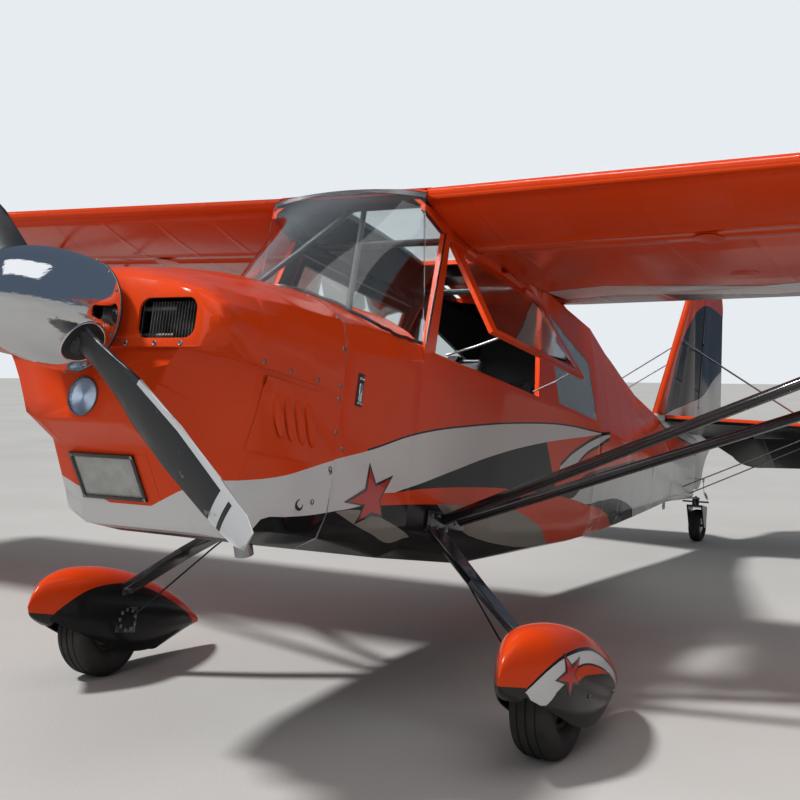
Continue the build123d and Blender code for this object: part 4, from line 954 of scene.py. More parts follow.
collars, lips = [], []
for side in BOTH_SIDES:
    collars.append(thicken(formed(72, 8, lambda u, v: boot_point(side, u, v)), .0012, 0.0))
    lips.append(thicken(formed(72, 6, lambda u, v: lip_point(side, u, v)), .0022, 0.0))
piece(collars, "blade_collars", RUBBER, "propeller")
piece(lips, "blade_lips", CHROME, "propeller")
print("blade holes", len(lips))

# %% Backplate and screws
plate = turned([(.03, -.010), (.158, -.010), (.1625, -.006), (.1625, .000), (.158, .004), (.03, .004)],
               (SPINNER_BASE, 0, 0), FORWARD)
piece([plate], "spinner_backplate", STEEL, "propeller", angle=35)
SPINNER_SCREWS, SPINNER_SCREW_X = 16, SPINNER_BASE + 0.014
spots = []
for turn in around(SPINNER_SCREWS):
    out = Vector((0, cos(turn), sin(turn)))
    spots.append((parked(SPINNER_SCREW_X, *(out.yz * SPINNER_RADIUS)), PARK.to_3x3() @ out))
plant(bolt_head(0.0035, 0.0016, 10), spots, "spinner_screws", body="propeller")
print("screws", len(spots))

# %% [markdown]
# The tyres are smooth-shouldered aircraft tyres with straight grooves. The section carries the
# grooves, so the tread comes from the same turn. The wheel is a cast half-hub with a bead flange.

# %% Tyres and wheels
def tyre_section(crown, half_width, bead, groove):
    """Half of a tyre's section and its mirror, from one bead over the tread to the other."""
    wall = crown - bead
    half = [(bead, half_width * .62), (bead + .006, half_width * .74),
            (bead + wall * .25, half_width * .93), (bead + wall * .50, half_width),
            (bead + wall * .72, half_width * .97), (bead + wall * .88, half_width * .86),
            (crown - .006, half_width * .72), (crown - .0022, half_width * .60),
            (crown - .0015, half_width * .475), (crown - groove, half_width * .46),
            (crown - groove, half_width * .40), (crown - .001, half_width * .385),
            (crown, half_width * .22), (crown, half_width * .065), (crown - groove, half_width * .05)]
    return mirrored(half) + [(bead - .002, -half_width * .3), (bead - .002, half_width * .3)]


MAIN_AXLE, MAIN_RADIUS, MAIN_HALF = (-.530, .965, -.970), .180, .0705
TAIL_AXLE, TAIL_RADIUS, TAIL_HALF = (-5.353, 0, -.101), .112, .0375
MAIN_BEAD, MAIN_GROOVE, TAIL_BEAD, TAIL_GROOVE = .079, .006, .053, .004
HUB_HALF = [(.018, -.044), (.030, -.044), (.032, -.030), (.060, -.026), (.066, -.040), (.078, -.046),
            (.0795, -.042), (.072, -.036), (.068, -.020)]
HUB_BOLTS, HUB_BOLT_CIRCLE, HUB_BOLT_FACE = 6, .048, .0275
for side, word in LEFT_NAMES:
    centre = (MAIN_AXLE[0], side * MAIN_AXLE[1], MAIN_AXLE[2])
    wheel = "wheel_" + word
    tyre = turned(tyre_section(MAIN_RADIUS, MAIN_HALF, MAIN_BEAD, MAIN_GROOVE), centre, SIDEWAYS, 96)
    piece([tyre], "tyre_" + word + "_tread", RUBBER, wheel, ("tyre_" + word,))
    rim = turned(mirrored(HUB_HALF), centre, SIDEWAYS)
    piece([rim], "rim_" + word + "_cast", CAST, wheel, ("rim_" + word,), 35)
    spots = []
    for turn in around(HUB_BOLTS):
        x, z = centre[0] + HUB_BOLT_CIRCLE * cos(turn), centre[2] + HUB_BOLT_CIRCLE * sin(turn)
        for face in (1, -1):
            spots.append((parked(x, centre[1] + face * HUB_BOLT_FACE, z), Vector((0, face, 0))))
    plant(bolt_head(.005, .004), spots, "rim_" + word + "_bolts", body=wheel)
tyre = turned(tyre_section(TAIL_RADIUS, TAIL_HALF, TAIL_BEAD, TAIL_GROOVE), TAIL_AXLE, SIDEWAYS, 72)
piece([tyre], "tail_tyre_tread", RUBBER, "tail_wheel", ("tail_tyre",))
print("tyres turned")

# %% [markdown]
# The wheel fairings are moulded shells shaped like a drop: blunt at the nose, drawn out at the tail,
# with an opening below for the tyre. Stations along the length give the half width, the top and the
# bottom, and a smooth curve through them gives every section between.

# %% Wheel fairings
PANT_STATIONS = ((-.134, .002, -.885, -.893), (-.150, .011, -.842, -.922), (-.185, .031, -.797, -.942),
                 (-.240, .062, -.764, -.962), (-.320, .098, -.738, -.997), (-.420, .116, -.726, -1.034),
                 (-.520, .120, -.725, -1.064), (-.640, .117, -.737, -1.078), (-.770, .104, -.765, -1.060),
                 (-.900, .080, -.806, -1.008), (-1.010, .050, -.850, -.966), (-1.080, .028, -.886, -.944),
                 (-1.128, .006, -.914, -.934))
PANT_ROWS, UPPER_POWER, LOWER_POWER = 84, .86, .62
OPENING_FRONT, OPENING_BACK, OPENING_SHARE = -.235, -.800, .806


def eased(stations, share):
    """The station at a share of the way, by a curve through the four nearest ones."""
    at = share * (len(stations) - 1)
    k = min(int(at), len(stations) - 2)
    t = at - k
    before, here = stations[max(k - 1, 0)], stations[k]
    there, after = stations[k + 1], stations[min(k + 2, len(stations) - 1)]
    made = []
    for a, b, c, d in zip(before, here, there, after):
        made.append(b + 0.5 * t * (c - a + t * (2 * a - 5 * b + 4 * c - d + t * (3 * (b - c) + d - a))))
    return made


def pant_point(side, u, v):
    """A point of a fairing's outside: round the section with u, along the stations with v."""
    x, half, top, low = eased(PANT_STATIONS, v)
    angle = u * 2 * pi
    middle, rise = (top + low) / 2, (top - low) / 2
    power = UPPER_POWER if sin(angle) > 0 else LOWER_POWER
    outward = abs(cos(angle)) ** power * (1 if cos(angle) > 0 else -1)
    upward = abs(sin(angle)) ** power * (1 if sin(angle) > 0 else -1)
    return x, side * MAIN_AXLE[1] + max(half, 0.001) * outward, middle + rise * upward


print("stations", len(PANT_STATIONS))

# %% Openings of the fairings
PANT_WALL = .005
pant_middles = [eased(PANT_STATIONS, (row + .5) / PANT_ROWS) for row in range(PANT_ROWS)]


def in_opening(face, side):
    """True for a face of the opening that the tyre comes through."""
    x, half, top, low = min(pant_middles, key=lambda row: abs(row[0] - face.center.x))
    inside = abs(face.center.y - side * MAIN_AXLE[1]) < OPENING_SHARE * half
    return face.center.z < (top + low) / 2 and inside and OPENING_BACK < x < OPENING_FRONT


for side, word in LEFT_NAMES:
    node = "wheel_pant_" + word
    pant = formed(72, PANT_ROWS, lambda u, v: pant_point(side, u, v))
    choose(pant, lambda face: in_opening(face, side))
    with editing(None):
        bpy.ops.mesh.delete(type="FACE")
    thicken(pant, PANT_WALL)
    skins[node + "_shell"] = piece([pant], node + "_shell", PANT_PAINT, replaced=(node,))
print("fairings formed")

# %% [markdown]
# The windshield is one sheet of acrylic, wrapped from the cowl deck up to the leading edge of the
# wing. Its lower edge is where the sheet meets the deck, which is found by rays from above, and an
# enamelled strip holds it there. A second strip closes its top edge.

# %% Windshield
DECK = ("boot_cowl", "cowl_upper")
PANE_COLUMNS, PANE_ROWS, PANE_WALL, ARCH_POWER = 48, 24, .004, .88
FOOT_X, FOOT_Z, FOOT_HALF, FOOT_REACH, FOOT_RISE = -.500, .085, .392, .468, .31
HEAD_X, HEAD_Z, HEAD_HALF, HEAD_BOW, HEAD_CROWN = -.506, .742, .334, .010, .026
PANE_BULGE = .035


def arch(half, depth, u):
    """A point on a shallow or deep arch: sideways and forward."""
    angle = pi * (1 - u)
    outward = abs(cos(angle)) ** ARCH_POWER * (1 if cos(angle) > 0 else -1)
    return half * outward, depth * sin(angle) ** ARCH_POWER


def pane_point(u, v):
    """A point of the whole sheet, from its foot below the deck to its head at the wing."""
    y, forward = arch(FOOT_HALF, FOOT_REACH, u)
    low = Vector((FOOT_X + forward, y, FOOT_Z + forward * FOOT_RISE))
    rise = arch(HEAD_HALF, 1.0, u)[1]
    high = Vector((HEAD_X + HEAD_BOW * rise, HEAD_HALF * (2 * u - 1), HEAD_Z + HEAD_CROWN * rise ** .8))
    bulge = PANE_BULGE * sin(pi * v) * (1 - (2 * u - 1) ** 2) ** .5
    return low.lerp(high, v) + Vector((bulge, 0, 0))


def deck_share(u):
    """How far up the sheet the deck lies."""
    for percent in range(60):
        point = pane_point(u, percent / 100)
        found = touch(DECK, (point.x, point.y, 1.0), (0, 0, -1))
        if found is None or point.z > level(found[0]).z + .001:
            return percent / 100
    return 0.0


shares = [deck_share(k / PANE_COLUMNS) for k in range(PANE_COLUMNS + 1)]


def trimmed_pane(u, v):
    """A point of the sheet above the deck."""
    start = shares[round(u * PANE_COLUMNS)]
    return pane_point(u, start + (1 - start) * v)


pane = thicken(formed(PANE_COLUMNS, PANE_ROWS, trimmed_pane), PANE_WALL)
piece([pane], "windshield_pane", ACRYLIC, replaced=("windshield",))
print("windshield formed, deck shares", round(min(shares), 3), round(max(shares), 3))

# %% Strips of the windshield
STRIP_PROUD, STRIP_WALL = .002, .0018
STRIPS = ((-.008, .014, "windshield_retainer", ENAMEL), (.965, 1.0, "windshield_top_strip", TUBE))


def strip(lower, upper, wall, name, finish):
    """A flat strip across the pane between two edges, each a function of u, with a wall."""
    made = formed(PANE_COLUMNS, 2, lambda u, v: Vector(lower(u)).lerp(Vector(upper(u)), v))
    return piece([thicken(made, wall, 1.0)], name, finish)


def proud(u, v):
    """A point just outside the pane."""
    point = trimmed_pane(u, v)
    return point + Vector((point.x + .55, point.y * .9, .15)).normalized() * STRIP_PROUD


for low, high, name, finish in STRIPS:
    strip(lambda u: proud(u, low), lambda u: proud(u, high), STRIP_WALL, name, finish)
print("strips", len(STRIPS))

# %% [markdown]
# The post at the side leans back, and the glass goes on behind it down to the sill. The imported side
# has a straight front edge there, so its corner is cut off with a Boolean, a small quarter pane
# fills the gap, and a black strip edges the post.

# %% Quarter panes
POST_CUT = ((-.46, .178), (-.514, .192), (-.652, .632), (-.46, .692))
CUTTER_FROM, CUTTER_WIDTH, SIDE_ANGLE = .28, .20, 24
FLANK_HALF, FLANK_Z, FLANK_LEAN = .400, .15, .1127
QUARTER_X, QUARTER_BACK, QUARTER_LEAN, QUARTER_LEAN_OVER = -.498, -.500, .160, .46
QUARTER_Z, QUARTER_RISE, QUARTER_SUNK, QUARTER_WALL = .172, .515, .0032, .003
EDGING_X, EDGING_LEAN, EDGING_WIDTH = -.502, .152, .013
EDGING_Z, EDGING_RISE, EDGING_PROUD = .182, .455, .0012


def hull_side(z, side):
    """The straight flank of the cabin at its front: y at a height."""
    return side * (FLANK_HALF - (z - FLANK_Z) * FLANK_LEAN)


def cut_away(name, corners, side):
    """Takes a prism with the given x, z corners out of a skin's flank."""
    cutter = new_mesh(bpy.ops.mesh.primitive_circle_add, vertices=len(corners), fill_type="NGON")
    for vertex, (x, z) in zip(cutter.data.vertices, corners):
        vertex.co = parked(x, side * CUTTER_FROM, z)
    with editing():
        bpy.ops.mesh.extrude_region_move(TRANSFORM_OT_translate={"value": (0, side * CUTTER_WIDTH, 0)})
        bpy.ops.mesh.select_all(action="SELECT")
        bpy.ops.mesh.normals_make_consistent(inside=False)
    skin = alone(skins[name])
    modifier = skin.modifiers.new("cut", "BOOLEAN")
    modifier.object = cutter
    modifier.solver = "EXACT"
    bpy.ops.object.modifier_apply(modifier=modifier.name)
    bpy.data.objects.remove(cutter)
    soften(skin, SIDE_ANGLE)


def quarter_point(side, u, v):
    """A point of the quarter pane, from the post back to where the side begins."""
    rise = v * QUARTER_RISE
    back = QUARTER_BACK - QUARTER_LEAN * min(rise / QUARTER_LEAN_OVER, 1)
    z = QUARTER_Z + rise
    return QUARTER_X + (back - QUARTER_X) * u, hull_side(z, side) - side * QUARTER_SUNK, z


def edging_point(side, u, v):
    """A point of the black strip along the leaning post."""
    z = EDGING_Z + v * EDGING_RISE
    return EDGING_X - EDGING_LEAN * v - EDGING_WIDTH * u, hull_side(z, side) + side * EDGING_PROUD, z


for (side, word), name in zip(PORT_NAMES, ("cabin_side_left", "cabin_side_right")):
    cut_away(name, POST_CUT, side)
    quarter = thicken(formed(6, 16, lambda u, v: quarter_point(side, u, v)), QUARTER_WALL, 0.0)
    piece([quarter], "quarter_pane_" + word, ACRYLIC)
    edging = thicken(formed(2, 16, lambda u, v: edging_point(side, u, v)), STRIP_WALL, 0.0)
    piece([edging], "post_edging_" + word, ENAMEL)
print("quarter panes", len(PORT_NAMES))

# %% [markdown]
# Fabric and sheet close the hull behind the skylight without a break. Two thin covers follow the
# roof and blend into the rounder back behind it, and a strip closes the roof's front edge. Each is
# a grid whose height comes from the roof's slope, the hull's section, or an even blend of both.

# %% Roof covers
ROOF_HEIGHT, ROOF_X, ROOF_SLOPE = .764, -1.85, .168
HULL_TOP = ((0, .735), (.12, .720), (.20, .691), (.28, .646))
HULL_X, HULL_SLOPE = -2.30, .09
COVER_LIFT, COVER_WALL = .002, .0014
ROOF_COVER_X, ROOF_COVER_LENGTH, ROOF_COVER_HALF = -1.84, .24, .29
HULL_COVER_X, HULL_COVER_LENGTH, HULL_COVER_HALF = -2.07, .28, .214
BLEND_FROM, BLEND_LENGTH = -2.12, .16
FRONT_STRIP_X, FRONT_STRIP_Z = -.545, .7765


def roof_height(x):
    """The top of the roof behind the skylight."""
    return ROOF_HEIGHT + (x - ROOF_X) * ROOF_SLOPE


def hull_height(x, y):
    """The top of the hull behind the roof, at a distance along and to the side."""
    off = abs(y)
    for (y0, z0), (y1, z1) in zip(HULL_TOP, HULL_TOP[1:]):
        if off <= y1:
            return z0 + (z1 - z0) * (off - y0) / (y1 - y0) + (x - HULL_X) * HULL_SLOPE
    return HULL_TOP[-1][1]


def roof_point(u, v):
    """A point of the flat cover behind the skylight."""
    x = ROOF_COVER_X - ROOF_COVER_LENGTH * u
    return x, ROOF_COVER_HALF * (2 * v - 1), roof_height(x) + COVER_LIFT


def hull_point(u, v):
    """A point of the cover that blends the roof into the round back."""
    x, y = HULL_COVER_X - HULL_COVER_LENGTH * u, HULL_COVER_HALF * (2 * v - 1)
    share = min(max((BLEND_FROM - x) / BLEND_LENGTH, 0), 1)
    share = share * share * (3 - 2 * share)
    return x, y, roof_height(x) * (1 - share) + hull_height(x, y) * share + COVER_LIFT


for shape, name in ((roof_point, "roof_cover"), (hull_point, "turtledeck_cover")):
    piece([thicken(formed(24, 24, shape), COVER_WALL, 0.0)], name, TRIM_PAINT)
strip(lambda u: pane_point(u, 1) + Vector((COVER_LIFT, 0, COVER_LIFT)),
      lambda u: (FRONT_STRIP_X, HEAD_HALF * (2 * u - 1), FRONT_STRIP_Z),
      COVER_WALL, "roof_front_strip", TRIM_PAINT)
print("roof closed")

# %% [markdown]
# The cowl is held by screws each side of its split lines. The heads stand just proud of the paint.
# A riveted louvre panel, a quick latch and a few drain holes finish each side. A louvre is a scoop:
# a quarter of a flattened ball, open at the back.

# %% Cowl screws
SIDE_SCREWS = ((.448, -.066), (.299, -.066), (.148, -.064), (.016, -.057), (.016, -.100), (.014, -.205),
               (.014, -.330), (-.044, -.250), (.016, .06), (.016, .16))
FACE_SCREWS = ((.151, -.070), (.255, -.070), (.345, -.070))
TOP_SCREWS = (-.24, -.08, .08, .24)
SEAM_X = .016
spots = []
for side in BOTH_SIDES:
    spots += [beside(COWL_SKINS, x, z, side) for x, z in SIDE_SCREWS]
    spots += [touch(COWL_SKINS, (2.0, side * y, z), (-1, 0, 0)) for y, z in FACE_SCREWS]
spots += [touch(COWL_SKINS, (SEAM_X, y, 1), (0, 0, -1)) for y in TOP_SCREWS]
spots = [spot for spot in spots if spot]
plant(bolt_head(.0062, .0016, 14), spots, "cowl_screws")
print("screws", len(spots))

# %% Louvre panels
LOUVRE_COUNT, LOUVRE_X, LOUVRE_STEP = 4, .322, -.053
LOUVRE_Z, LOUVRE_DROP, LOUVRE_LEAN = -.198, .002, radians(27)
LOUVRE_SIZE, LOUVRE_BACK, LOUVRE_PROUD = (.020, .014, .0725), -.35, .001
PANEL_BACK, PANEL_LENGTH, PANEL_LOW, PANEL_RISE, PANEL_PROUD = .105, .310, -.315, .215, .0014


def panel_point(side, u, v):
    """A point of the riveted panel, laid on the cowl."""
    x, z = PANEL_BACK + PANEL_LENGTH * u, PANEL_LOW + PANEL_RISE * v
    return x, side_height(COWL_HALVES, x, z, side) + side * PANEL_PROUD, z


def louvre(side, x, z):
    """One scoop on the panel: a ball with its inner and its back part cut off."""
    scoop = new_mesh(bpy.ops.mesh.primitive_uv_sphere_add, segments=20, ring_count=14, radius=1)
    with editing():
        bpy.ops.mesh.bisect(plane_co=(0, 0, 0), plane_no=(0, -side, 0), clear_outer=True, use_fill=True)
        bpy.ops.mesh.select_all(action="SELECT")
        bpy.ops.mesh.bisect(plane_co=(LOUVRE_BACK, 0, 0), plane_no=(-1, 0, 0), clear_outer=True)
    scoop.scale = LOUVRE_SIZE
    scoop.rotation_euler = (0, LOUVRE_LEAN, 0)
    scoop.location = (x, side_height(COWL_HALVES, x, z, side) + side * LOUVRE_PROUD, z)
    bpy.ops.object.transform_apply(location=True, rotation=True, scale=True)
    return scoop


for side, word in PORT_NAMES:
    parts = [thicken(formed(16, 12, lambda u, v: panel_point(side, u, v)), .0010, 0.0)]
    for index in range(LOUVRE_COUNT):
        parts.append(louvre(side, LOUVRE_X + LOUVRE_STEP * index, LOUVRE_Z - LOUVRE_DROP * index))
    piece(parts, "louvre_panel_" + word, SIDE_PAINT)
print("louvres", LOUVRE_COUNT, "each side")

# %% [markdown]
# A latch is a black plate with a chromed lever that folds flat on it. Plate and lever are blocks
# with rounded edges: a cube is sized, and its edges are bevelled.

# %% Latches and drains
def rounded_block(size, place, bevel, segments=3):
    """A block with rounded edges, in the level frame."""
    block = new_mesh(bpy.ops.mesh.primitive_cube_add, size=1, location=place)
    block.scale = size
    bpy.ops.object.transform_apply(location=True, rotation=True, scale=True)
    with editing():
        bpy.ops.mesh.bevel(offset=bevel, segments=segments)
    return block


LATCH = (-.105, -.050)
LEVER_BLOCKS = (((.016, .007, .062), (.002, .005, -.010), .003), ((.026, .008, .010), (0, .005, .036), .002),
                ((.026, .006, .008), (0, .004, -.044), .002))
DRAINS = ((.134, -.445, .018), (.077, -.430, .008), (.019, -.321, .008))
plates, levers, drains = [], [], []
for side in BOTH_SIDES:
    x, y, z = level(beside(COWL_SKINS, *LATCH, side)[0])
    plates.append(rounded_block((.036, .006, .106), (x, y + side * .001, z), .002))
    for size, (dx, out, dz), bevel in LEVER_BLOCKS:
        levers.append(rounded_block(size, (x + dx, y + side * out, z + dz), bevel))
piece(plates, "latch_plates", TUBE)
piece(levers, "latch_levers", CHROME)
for x, z, radius in DRAINS:
    ring = [(radius * .2, -.001), (radius * .7, -.001), (radius * .8, .002), (radius, .002),
            (radius, -.002), (radius * .2, -.002)]
    for side in BOTH_SIDES:
        drains.append(turned(ring, level(beside(COWL_SKINS, x, z, side)[0]), (0, side, 0), 24))
piece(drains, "drain_holes", RUBBER)
print("latches and drains placed")

# %% [markdown]
# Behind the two inlets sit the front cylinders of a flat four engine. What shows is a stack of thin
# cooling fins and the sheet-metal baffle round them. One fin is a rounded plate, copied at its pitch.

# %% Cylinders and baffles
FIN_COUNT, FIN_PITCH, FIN_FROM, FIN_SIZE = 15, .0105, .195, (.105, .0028, .120)
CYLINDER_X, CYLINDER_Z, CYLINDER_FROM = .628, -.004, .19
BARREL = [(.001, 0), (.044, 0), (.044, .165), (.001, .165)]
PUSHROD = [(.001, 0), (.008, 0), (.008, .12), (.001, .12)]
parts, baffles = [], []
for side in BOTH_SIDES:
    for index in range(FIN_COUNT):
        place = (CYLINDER_X, side * (FIN_FROM + FIN_PITCH * index), CYLINDER_Z)
        parts.append(rounded_block(FIN_SIZE, place, .0012, 1))
    parts.append(turned(BARREL, (CYLINDER_X, side * CYLINDER_FROM, CYLINDER_Z), (0, side, 0), 28))
    for z in (.036, -.040):
        parts.append(turned(PUSHROD, (.672, side * .16, z), (0, side, 0), 16))
piece(parts, "front_cylinders", CAST, angle=35)
for side in BOTH_SIDES:
    baffles.append(rounded_block((.10, .22, .0016), (.640, side * .285, .066), .0006, 1))
    baffles.append(rounded_block((.10, .0016, .13), (.640, side * .172, .004), .0006, 1))
piece(baffles, "engine_baffles", STEEL, angle=35)
print("cooling fins", FIN_COUNT * 2)

# %% [markdown]
# The landing light is a sealed lamp: a polished bowl, a small bulb and a ribbed glass. The air
# filter is a pale pleated pad under a wire screen, in a black frame with a screw at each corner.

# %% Landing light
LIGHT = (.660, 0, -.218)
BOWL = [(.004, .008), (.022, .012), (.038, .022), (.048, .034), (.053, .040), (.0555, .040), (.0555, .000),
        (.004, .000)]
BULB = [(.0001, .008), (.007, .010), (.009, .020), (.006, .028), (.0001, .030)]
RIM = [(.0525, .037), (.0552, .037), (.0555, .0455), (.0525, .0460)]
LENS_RIBS, RIB_PITCH, RIB_LOW, RIB_HIGH = 12, .004, .0415, .0432
ribs = []
for index in range(1, LENS_RIBS + 1):
    ribs += [(RIB_PITCH * index, RIB_LOW), (RIB_PITCH * index + .002, RIB_HIGH)]
glass_section = [(.0001, .041), *ribs, (.0535, .0425), (.0535, .0385), (.0001, .0385)]
lamp = [turned(BOWL, LIGHT, FORWARD, 48), turned(BULB, LIGHT, FORWARD, 24)]
piece(lamp, "landing_light_bowl", CHROME, replaced=("landing_light",), angle=35)
piece([turned(glass_section, LIGHT, FORWARD, 48)], "landing_light_lens", LENS, angle=50)
piece([turned(RIM, LIGHT, FORWARD, 48)], "landing_light_rim", STEEL, angle=35)
print("lens ribs", LENS_RIBS)

# %% Air filter
FILTER_MIDDLE, FILTER_DOWN = Vector((.505, -.048, -.4225)), Vector((-.5787, 0, -.8155))
FILTER_OUT, FILTER_LEAN = Vector((.8155, 0, -.5787)), radians(35.36)
FILTER_HALF, FRAME_BAR, FRAME_OUT = (.112, .064), .013, .0055
INTAKE_ACROSS, INTAKE_WIDTH, INTAKE_HEIGHT = .048, .250, .154
PLEAT_MIDDLE, PLEAT_DEPTH, PLEATS = .0022, .0012, 30
SCREEN_OUT, SCREEN_WIRE, FILTER_SCREW_IN, FILTER_SCREW_OUT = .0052, .0009, .006, .0100


def on_filter(across, down, out):
    """A level place by its distances from the middle of the filter."""
    return FILTER_MIDDLE + Vector((0, across, 0)) + FILTER_DOWN * down + FILTER_OUT * out


def on_pad(u, v, out):
    """A level place by its shares of the filter's width and height."""
    return on_filter((u - .5) * 2 * FILTER_HALF[0], (v - .5) * 2 * FILTER_HALF[1], out)


def intake_point(u, v):
    return on_filter(INTAKE_ACROSS + (u - .5) * INTAKE_WIDTH, (v - .5) * INTAKE_HEIGHT, .0008)


plate = thicken(formed(2, 2, intake_point), .0012)
piece([plate], "intake_plate", TRIM_PAINT, replaced=("air_filter",), angle=30)
print("plate laid")

# %% Frame of the filter
bars = []
for sign in (1, -1):
    for upright in (False, True):
        half, other = reversed(FILTER_HALF) if upright else FILTER_HALF
        length, reach = 2 * (half + FRAME_BAR), sign * (other + FRAME_BAR / 2)
        size = (.009, FRAME_BAR, length) if upright else (.009, length, FRAME_BAR)
        place = on_filter(reach, 0, FRAME_OUT) if upright else on_filter(0, reach, FRAME_OUT)
        bar = rounded_block(size, (0, 0, 0), .0025, 2)
        bar.matrix_world = Matrix.Translation(place) @ Matrix.Rotation(FILTER_LEAN, 4, "Y")
        bars.append(bar)
piece(bars, "filter_frame", ENAMEL, angle=35)
print("bars", len(bars))

# %% Pad, screen and screws
PAD = worn("filter_pad", (0.55, 0.56, 0.54), 0.9, drift=((0.56, 0.57, 0.55), (0.47, 0.47, 0.44), 25),
           bump=(500, 0.0008))
pad = formed(120, 8, lambda u, v: on_pad(u, v, PLEAT_MIDDLE + PLEAT_DEPTH * sin(u * PLEATS * 2 * pi)))
piece([thicken(pad, .0008)], "filter_pad", PAD, angle=60)
screen = alone(formed(38, 20, lambda u, v: on_pad(u, v, SCREEN_OUT)))
wires = screen.modifiers.new("wires", "WIREFRAME")
wires.thickness = SCREEN_WIRE
bpy.ops.object.modifier_apply(modifier=wires.name)
fit(settle(screen), "filter_screen", "airframe", PAD)
spots = []
for across_share in (-1, 1):
    for down_share in (-1, 1):
        spot = on_filter(across_share * (FILTER_HALF[0] + FILTER_SCREW_IN),
                         down_share * (FILTER_HALF[1] + FILTER_SCREW_IN), FILTER_SCREW_OUT)
        spots.append((PARK @ spot, PARK.to_3x3() @ FILTER_OUT))
plant(bolt_head(.0048, .0018, 14), spots, "filter_screws")
print("pleats", PLEATS)

# %% [markdown]
# A cut-out star marks each side and each fairing. It is cut from film, so it is a very thin sheet
# that follows the skin: a flat star is drawn, divided finely, and every point is laid on the skin.
# A slightly larger black star lies under the red one.

# %% Stars
STAR_CUTS, FILM = 7, .0005


def star(skin_names, x, z, side, tips, inner, lift, name, finish, slot):
    """A thin star laid on the side of a skin. tips are (angle in degrees, reach) pairs."""
    made = new_mesh(bpy.ops.mesh.primitive_circle_add, vertices=len(tips) * 2, fill_type="TRIFAN")
    rim = [v for v in made.data.vertices if v.co.length > .5]
    for index, (angle, reach) in enumerate(tips):
        after = tips[(index + 1) % len(tips)][0]
        after += 360 if after < angle else 0
        middle = radians((angle + after) / 2)
        rim[2 * index].co = (cos(radians(angle)) * reach, 0, sin(radians(angle)) * reach)
        rim[2 * index + 1].co = (cos(middle) * inner, 0, sin(middle) * inner)
    with editing():
        bpy.ops.mesh.subdivide(number_cuts=STAR_CUTS)
    for vertex in made.data.vertices:
        flat = level(beside(skin_names, x + vertex.co.x, z + vertex.co.z, side)[0])
        vertex.co = (flat.x, flat.y + side * lift, flat.z)
    with editing():
        bpy.ops.mesh.normals_make_consistent(inside=False)
    return fit(settle(thicken(made, FILM, 0.0)), name, "airframe", finish)


SIDE_TIPS = ((-147, .084), (-49, .103), (-9, .144), (72, .105), (143, .131))
PANT_TIPS = ((-155, .062), (-95, .056), (-10, .072), (60, .068), (142, .080))
SIDE_STAR, PANT_STAR = (-.257, -.388), (-.406, -.872)
HULL_SKINS = ("boot_cowl", "cabin_side_left", "cabin_side_right", "cabin_belly", "cowl_lower")
PANT_SKINS = ("wheel_pant_left_shell", "wheel_pant_right_shell")
EDGE_SHARE, EDGE_INNER, EDGE_LIFT, STAR_LIFT = 1.17, .012, .0010, .0020
STARS = ((HULL_SKINS, SIDE_STAR, SIDE_TIPS, .044, "side"), (PANT_SKINS, PANT_STAR, PANT_TIPS, .023, "pant"))
for side, word in PORT_NAMES:
    for names, place, tips, inner, label in STARS:
        outline = [(angle, reach * EDGE_SHARE) for angle, reach in tips]
        star(names, *place, side, outline, inner + EDGE_INNER, EDGE_LIFT,
             label + "_star_edge_" + word, ENAMEL, "black_paint")
        star(names, *place, side, tips, inner, STAR_LIFT, label + "_star_" + word, STAR_RED, "red_paint")
print("stars laid")

# %% [markdown]
# The two seats are tubular frames with stuffed cushions. A cushion is full in the middle, its sides
# pull in between the corners, and sewn channels cross it. It starts as a divided block, and the
# same few rules move each of its points.

# %% Cushions and tubes
CUSHION_CUTS, SEAM_DEPTH, SEAM_WIDTH = 23, .22, .045


def cushion(length, width, height, channels):
    """A stuffed pad, lying flat and centred: crowned faces, drawn-in sides and sewn channels."""
    pad = new_mesh(bpy.ops.mesh.primitive_cube_add, size=2)
    with editing():
        bpy.ops.mesh.subdivide(number_cuts=CUSHION_CUTS)
    for vertex in pad.data.vertices:
        u, v, w = vertex.co
        crown = .42 + .58 * ((1 - u ** 4) * (1 - v ** 4)) ** .5
        sewn = 1.0 - sum(SEAM_DEPTH * exp(-((u - place) / SEAM_WIDTH) ** 2) for place in channels)
        edge = 1 - .12 * abs(w) ** 3
        x = u * edge * (1 - .035 * (1 - v * v))
        y = v * edge * (1 - .045 * (1 - u * u))
        vertex.co = (x * length / 2, y * width / 2, w * crown * sewn * height / 2)
    smooth = pad.modifiers.new("round", "SUBSURF")
    smooth.levels = smooth.render_levels = 1
    bpy.ops.object.modifier_apply(modifier=smooth.name)
    bpy.ops.object.shade_smooth()
    return pad


def tube(points, radius, steps=12):
    """A bent tube through level points."""
    line = bpy.data.curves.new("line", "CURVE")
    line.dimensions = "3D"
    spline = line.splines.new("POLY")
    spline.points.add(len(points) - 1)
    for point, place in zip(spline.points, points):
        point.co = (*place, 1)
    line.bevel_depth = radius
    line.bevel_resolution = max(steps // 4, 1)
    line.use_fill_caps = True
    holder = bpy.data.objects.new("line", line)
    bpy.context.scene.collection.objects.link(holder)
    alone(holder)
    bpy.ops.object.convert(target="MESH")
    return bpy.context.object


print("cushion and tube helpers ready")

